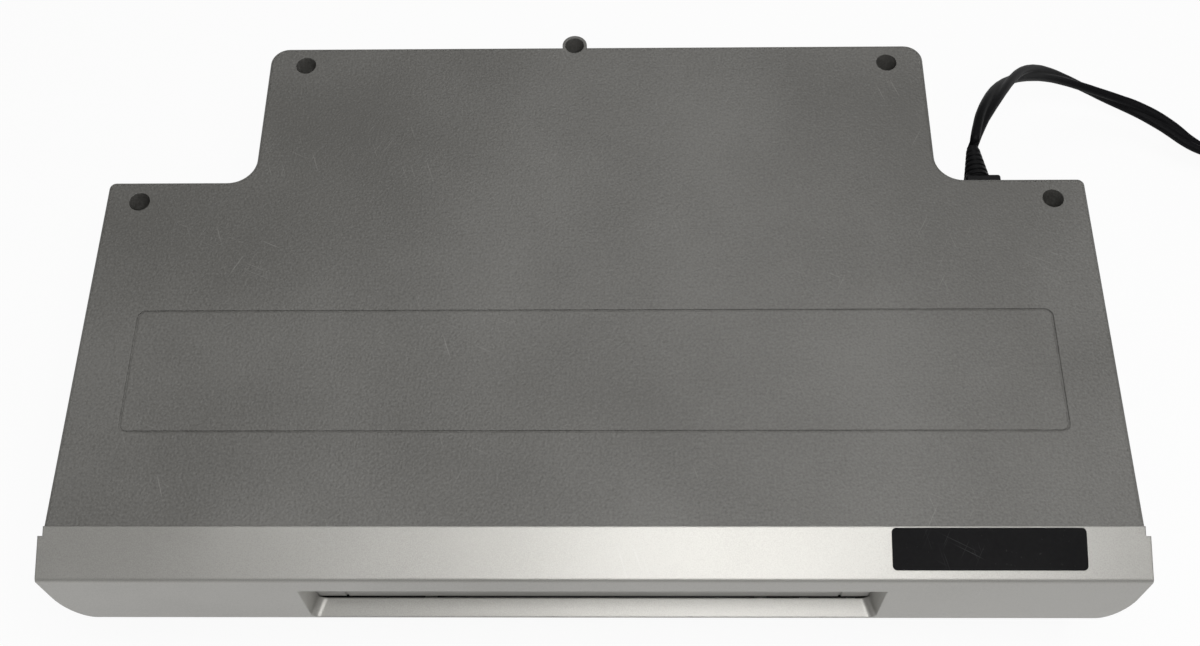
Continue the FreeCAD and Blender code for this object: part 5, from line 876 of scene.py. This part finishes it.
@dataclass
class MainsLead:
    """The flat two-core lead: its route over the table, its coil and its twin section, in millimetres.

    It turns by half a turn in each twist, as far along as it is twisted.
    """

    route: tuple[Point, ...] = (
        (143.9, 66.9, 80.0), (147.6, 78.3, 79.1), (153.7, 90.0, 75.4), (159.8, 100.8, 69.4),
        (166.1, 110.7, 62.2), (173.0, 119.7, 54.5), (180.9, 127.3, 46.1), (189.7, 133.5, 37.5),
        (199.8, 137.2, 29.1), (211.5, 137.8, 21.8), (224.0, 135.8, 16.6), (236.8, 131.4, 14.0),
        (248.3, 124.2, 12.1), (258.9, 116.1, 8.6), (271.1, 112.2, 6.0), (283.9, 112.1, 4.8),
        (295.6, 112.4, 4.4), (306.5, 112.4, 4.4))
    centre: tuple[float, float] = (312.0, 69.15)
    outer: float = 43.25
    pitch: float = 6.0
    low: float = 4.4
    layer: float = 7.4
    climb: float = 0.5
    turns: float = 5.25
    turn_steps: int = 24
    lead: float = 22.0
    width: float = 7.0
    thickness: float = 3.7
    twist: float = 68.6
    twisted: float = 205.8
    lobe_points: int = 11
    lobe_gap: float = 0.16

    def coil(self, turn: Array) -> Array:
        """The coil's middle line: clockwise, inwards on the table and outwards on top of it.

        The radius is the outer one less a pitch per turn up to the middle of the coil, and grows again after
        it; the height climbs by one layer there, on half a cosine.

        Args:
            turn: How many turns have gone by.

        Returns:
            Points in millimetres.
        """
        half = self.turns / 2
        radius = self.outer - self.pitch * (half - np.abs(turn - half))
        rise = np.clip((turn - half) / self.climb + 0.5, 0.0, 1.0)
        angle = math.pi / 2 - TURN * turn
        return np.stack([self.centre[0] + radius * np.cos(angle), self.centre[1] + radius * np.sin(angle),
                         self.low + self.layer * (1 - np.cos(math.pi * rise)) / 2], axis=1)

    def controls(self) -> Array:
        """The spline's control points in metres: the route, the coil and the straight end at the plug."""
        coil = self.coil(np.arange(0.0, self.turns + 1e-6, 1.0 / self.turn_steps))
        step = np.array([[0.0, -self.lead / 3, 0.0]])
        end = coil[-1:] + step * np.arange(1, 4)[:, None]
        return np.concatenate([np.array(self.route), coil, end]) * MM

    def middle_line(self) -> Array:
        """Read the smooth middle line from a NURBS spline over the control points.

        Returns:
            Points in metres, from the relief to the plug.
        """
        controls = self.controls()
        curve = bpy.data.curves.new("lead_route", "CURVE")
        curve.dimensions = "3D"
        spline = curve.splines.new("NURBS")
        spline.points.add(len(controls) - 1)
        spline.points.foreach_set("co", np.c_[controls, np.ones(len(controls))].ravel())
        spline.order_u = 3
        spline.use_endpoint_u = True
        spline.resolution_u = 10
        holder = in_scene("lead_route", curve)
        bpy.context.view_layer.update()
        mesh = bpy.data.meshes.new_from_object(holder)
        points = np.empty(len(mesh.vertices) * 3)
        mesh.vertices.foreach_get("co", points)
        bpy.data.objects.remove(holder)
        bpy.data.meshes.remove(mesh)
        points = points.reshape(-1, 3)
        moved = np.linalg.norm(np.diff(points, axis=0), axis=1) > 1e-6
        return points[np.r_[True, moved]]

    def section(self) -> Array:
        """Outline of the twin section: two circles whose far sides are the lead's width apart.

        Returns:
            Points with the wide direction first, in millimetres.
        """
        radius = self.thickness / 2
        offset = self.width / 2 - radius
        reach = math.pi - math.acos(offset / radius) - self.lobe_gap
        angle = np.linspace(-reach, reach, self.lobe_points)
        right = np.stack([offset + radius * np.cos(angle), radius * np.sin(angle)], axis=1)
        return np.concatenate([right, -right])

    def build(self, workshop: Workshop, pieces: list[Piece]) -> None:
        """Carry the twin section along the middle line: it turns at first and stands up in the coil.

        Args:
            workshop: Where the finishes are made.
            pieces: The plug and the tie, which lie with the lead; not used.
        """
        line = self.middle_line()
        run = np.r_[0.0, np.cumsum(np.linalg.norm(np.diff(line, axis=0), axis=1))]
        along = unit(np.gradient(line, axis=0))
        side = unit(np.cross(along, UP))
        over = np.cross(side, along)
        turn = math.pi / 2 + math.pi * np.minimum(run / MM, self.twisted) / self.twist
        wide = np.cos(turn)[:, None] * side + np.sin(turn)[:, None] * over
        thin = np.cross(wide, along)
        outline = self.section() * MM
        points = line[:, None] + outline[None, :, :1] * wide[:, None] + outline[None, :, 1:] * thin[:, None]
        lead = grid_object("mains_lead", points[:, ::-1], workshop.material(VINYL))
        place_on(lead, "chassis", "cord_vinyl", "power_cord", "cord_coil")
        log.info("mains lead: %.3f m", run[-1])


# The stage


@dataclass
class Studio:
    """White table, soft lights and the camera of the photograph: place in millimetres, angles in degrees.

    Each lamp is a soft square with its name, its middle and its aim in metres, its side in metres and its
    power in watts.
    """

    camera_place: Point = (12.07, -265.0, 551.97)
    yaw: float = -2.199
    pitch: float = 61.585
    roll: float = 2.073
    lens: float = 45.0
    sensor: float = 36.0
    floor_tones: tuple[float, float] = (0.86, 0.89)
    floor_reach: float = 6.0
    floor_drop: float = 0.00005
    floor_glow: float = 0.93
    room_light: float = 0.20
    lamps: tuple[tuple[str, Point, Point, float, float], ...] = (
        ("near camera", (0.09, -0.30, 0.78), (0.02, -0.03, 0.05), 0.32, 2.9),
        ("behind", (0.20, 0.42, 1.25), (0.0, 0.0, 0.05), 0.9, 5.0),
        ("right", (1.3, -0.5, 0.9), (0.0, 0.0, 0.05), 0.9, 1.2))

    def camera(self) -> None:
        """Put the camera where the photograph was taken: forward from yaw and pitch, then rolled about it."""
        yaw, pitch, roll = (math.radians(angle) for angle in (self.yaw, self.pitch, self.roll))
        ahead = np.array([math.sin(yaw) * math.cos(pitch), math.cos(yaw) * math.cos(pitch), -math.sin(pitch)])
        right = np.array([math.cos(yaw), -math.sin(yaw), 0.0])
        down = np.cross(ahead, right)
        data = bpy.data.cameras.new("camera")
        data.lens = self.lens
        data.sensor_width = self.sensor
        data.sensor_fit = "HORIZONTAL"
        data.clip_start = 0.01
        matrix = np.eye(4)
        matrix[:3, 0] = math.cos(roll) * right + math.sin(roll) * down
        matrix[:3, 1] = math.sin(roll) * right - math.cos(roll) * down
        matrix[:3, 2] = -ahead
        matrix[:3, 3] = np.array(self.camera_place) * MM
        made = in_scene("camera", data)
        made.matrix_world = Matrix(matrix.tolist())
        bpy.context.scene.camera = made

    def white_surface(self) -> bpy.types.Material:
        """A pale surface that shows white to the camera and to reflections, but keeps the object's shadow."""
        material = bpy.data.materials.new("white table")
        material.use_nodes = True
        tree, nodes = Wiring(material.node_tree), material.node_tree.nodes
        grain = tree.node("TexNoise", {"Scale": 400.0}).outputs["Fac"]
        tone = tree.mix(*((tone, tone, tone) for tone in self.floor_tones), grain)
        matt = nodes["Principled BSDF"]
        tree.fill(matt, {"Roughness": 0.9, "Specular IOR Level": 0.1, "Base Color": tone})
        rays = tree.node("LightPath").outputs
        seen = tree.calc("MAXIMUM", rays["Is Camera Ray"], rays["Is Glossy Ray"])
        both = tree.node("MixShader", {0: tree.calc("MULTIPLY", seen, self.floor_glow), 1: matt.outputs[0],
                                       2: tree.node("Emission").outputs[0]})
        tree.fill(nodes["Material Output"], {"Surface": both.outputs[0]})
        return material

    def floor(self) -> None:
        """Lay the table as one flat grid just under the feet."""
        reach = np.linspace(-self.floor_reach, self.floor_reach, 3)
        x, y = np.meshgrid(reach, reach, indexing="ij")
        points = np.stack([x, y, np.full_like(x, -self.floor_drop)], axis=-1)
        grid_object("table", points, self.white_surface(), around=False, smooth=False)

    def lights(self) -> None:
        """Light the object from near the camera, from above behind and from the right, in a room that the
        camera sees as white.
        """
        for name, place, aim, side, power in self.lamps:
            data = bpy.data.lights.new(name, "AREA")
            data.size = side
            data.energy = power
            made = in_scene(name, data)
            made.location = place
            made.rotation_euler = (Vector(aim) - Vector(place)).to_track_quat("-Z", "Y").to_euler()
        world = bpy.data.worlds.new("white room")
        world.use_nodes = True
        bpy.context.scene.world = world
        tree = Wiring(world.node_tree)
        seen = tree.node("LightPath").outputs["Is Camera Ray"]
        tree.fill(world.node_tree.nodes["Background"], {"Color": (1.0, 1.0, 1.0, 1.0),
                                                        "Strength": tree.between(seen, self.room_light, 1.0)})

    def build(self) -> None:
        """Set up the whole stage."""
        bpy.context.scene.view_settings.view_transform = "Standard"
        self.camera()
        self.floor()
        self.lights()


def dress_nodes(nodes: dict[str, Piece], workshop: Workshop) -> None:
    """Give each CAD node its finish.

    Args:
        nodes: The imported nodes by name.
        workshop: Where the finishes are made.
    """
    for finish, names in NODE_FINISH.items():
        material = workshop.material(finish)
        for name in names.split():
            target = nodes[name]
            if not target.material_slots:
                target.data.materials.append(material)
            for place in target.material_slots:
                place.material = material
            log.info("%s: %s", name, finish.name)


def main() -> None:
    """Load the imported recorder, dress it and set the stage."""
    logging.basicConfig(level=logging.INFO, format="%(message)s")
    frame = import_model()
    workshop = Workshop()
    Studio().build()
    dress_nodes(frame["nodes"], workshop)
    on_lead = MainsPlug(workshop).build() + CoilTie(workshop).build()
    MainsLead().build(workshop, on_lead)
    RearSockets(workshop).build()
    KeyLegends(workshop).build()


if __name__ == "__main__":
    main()
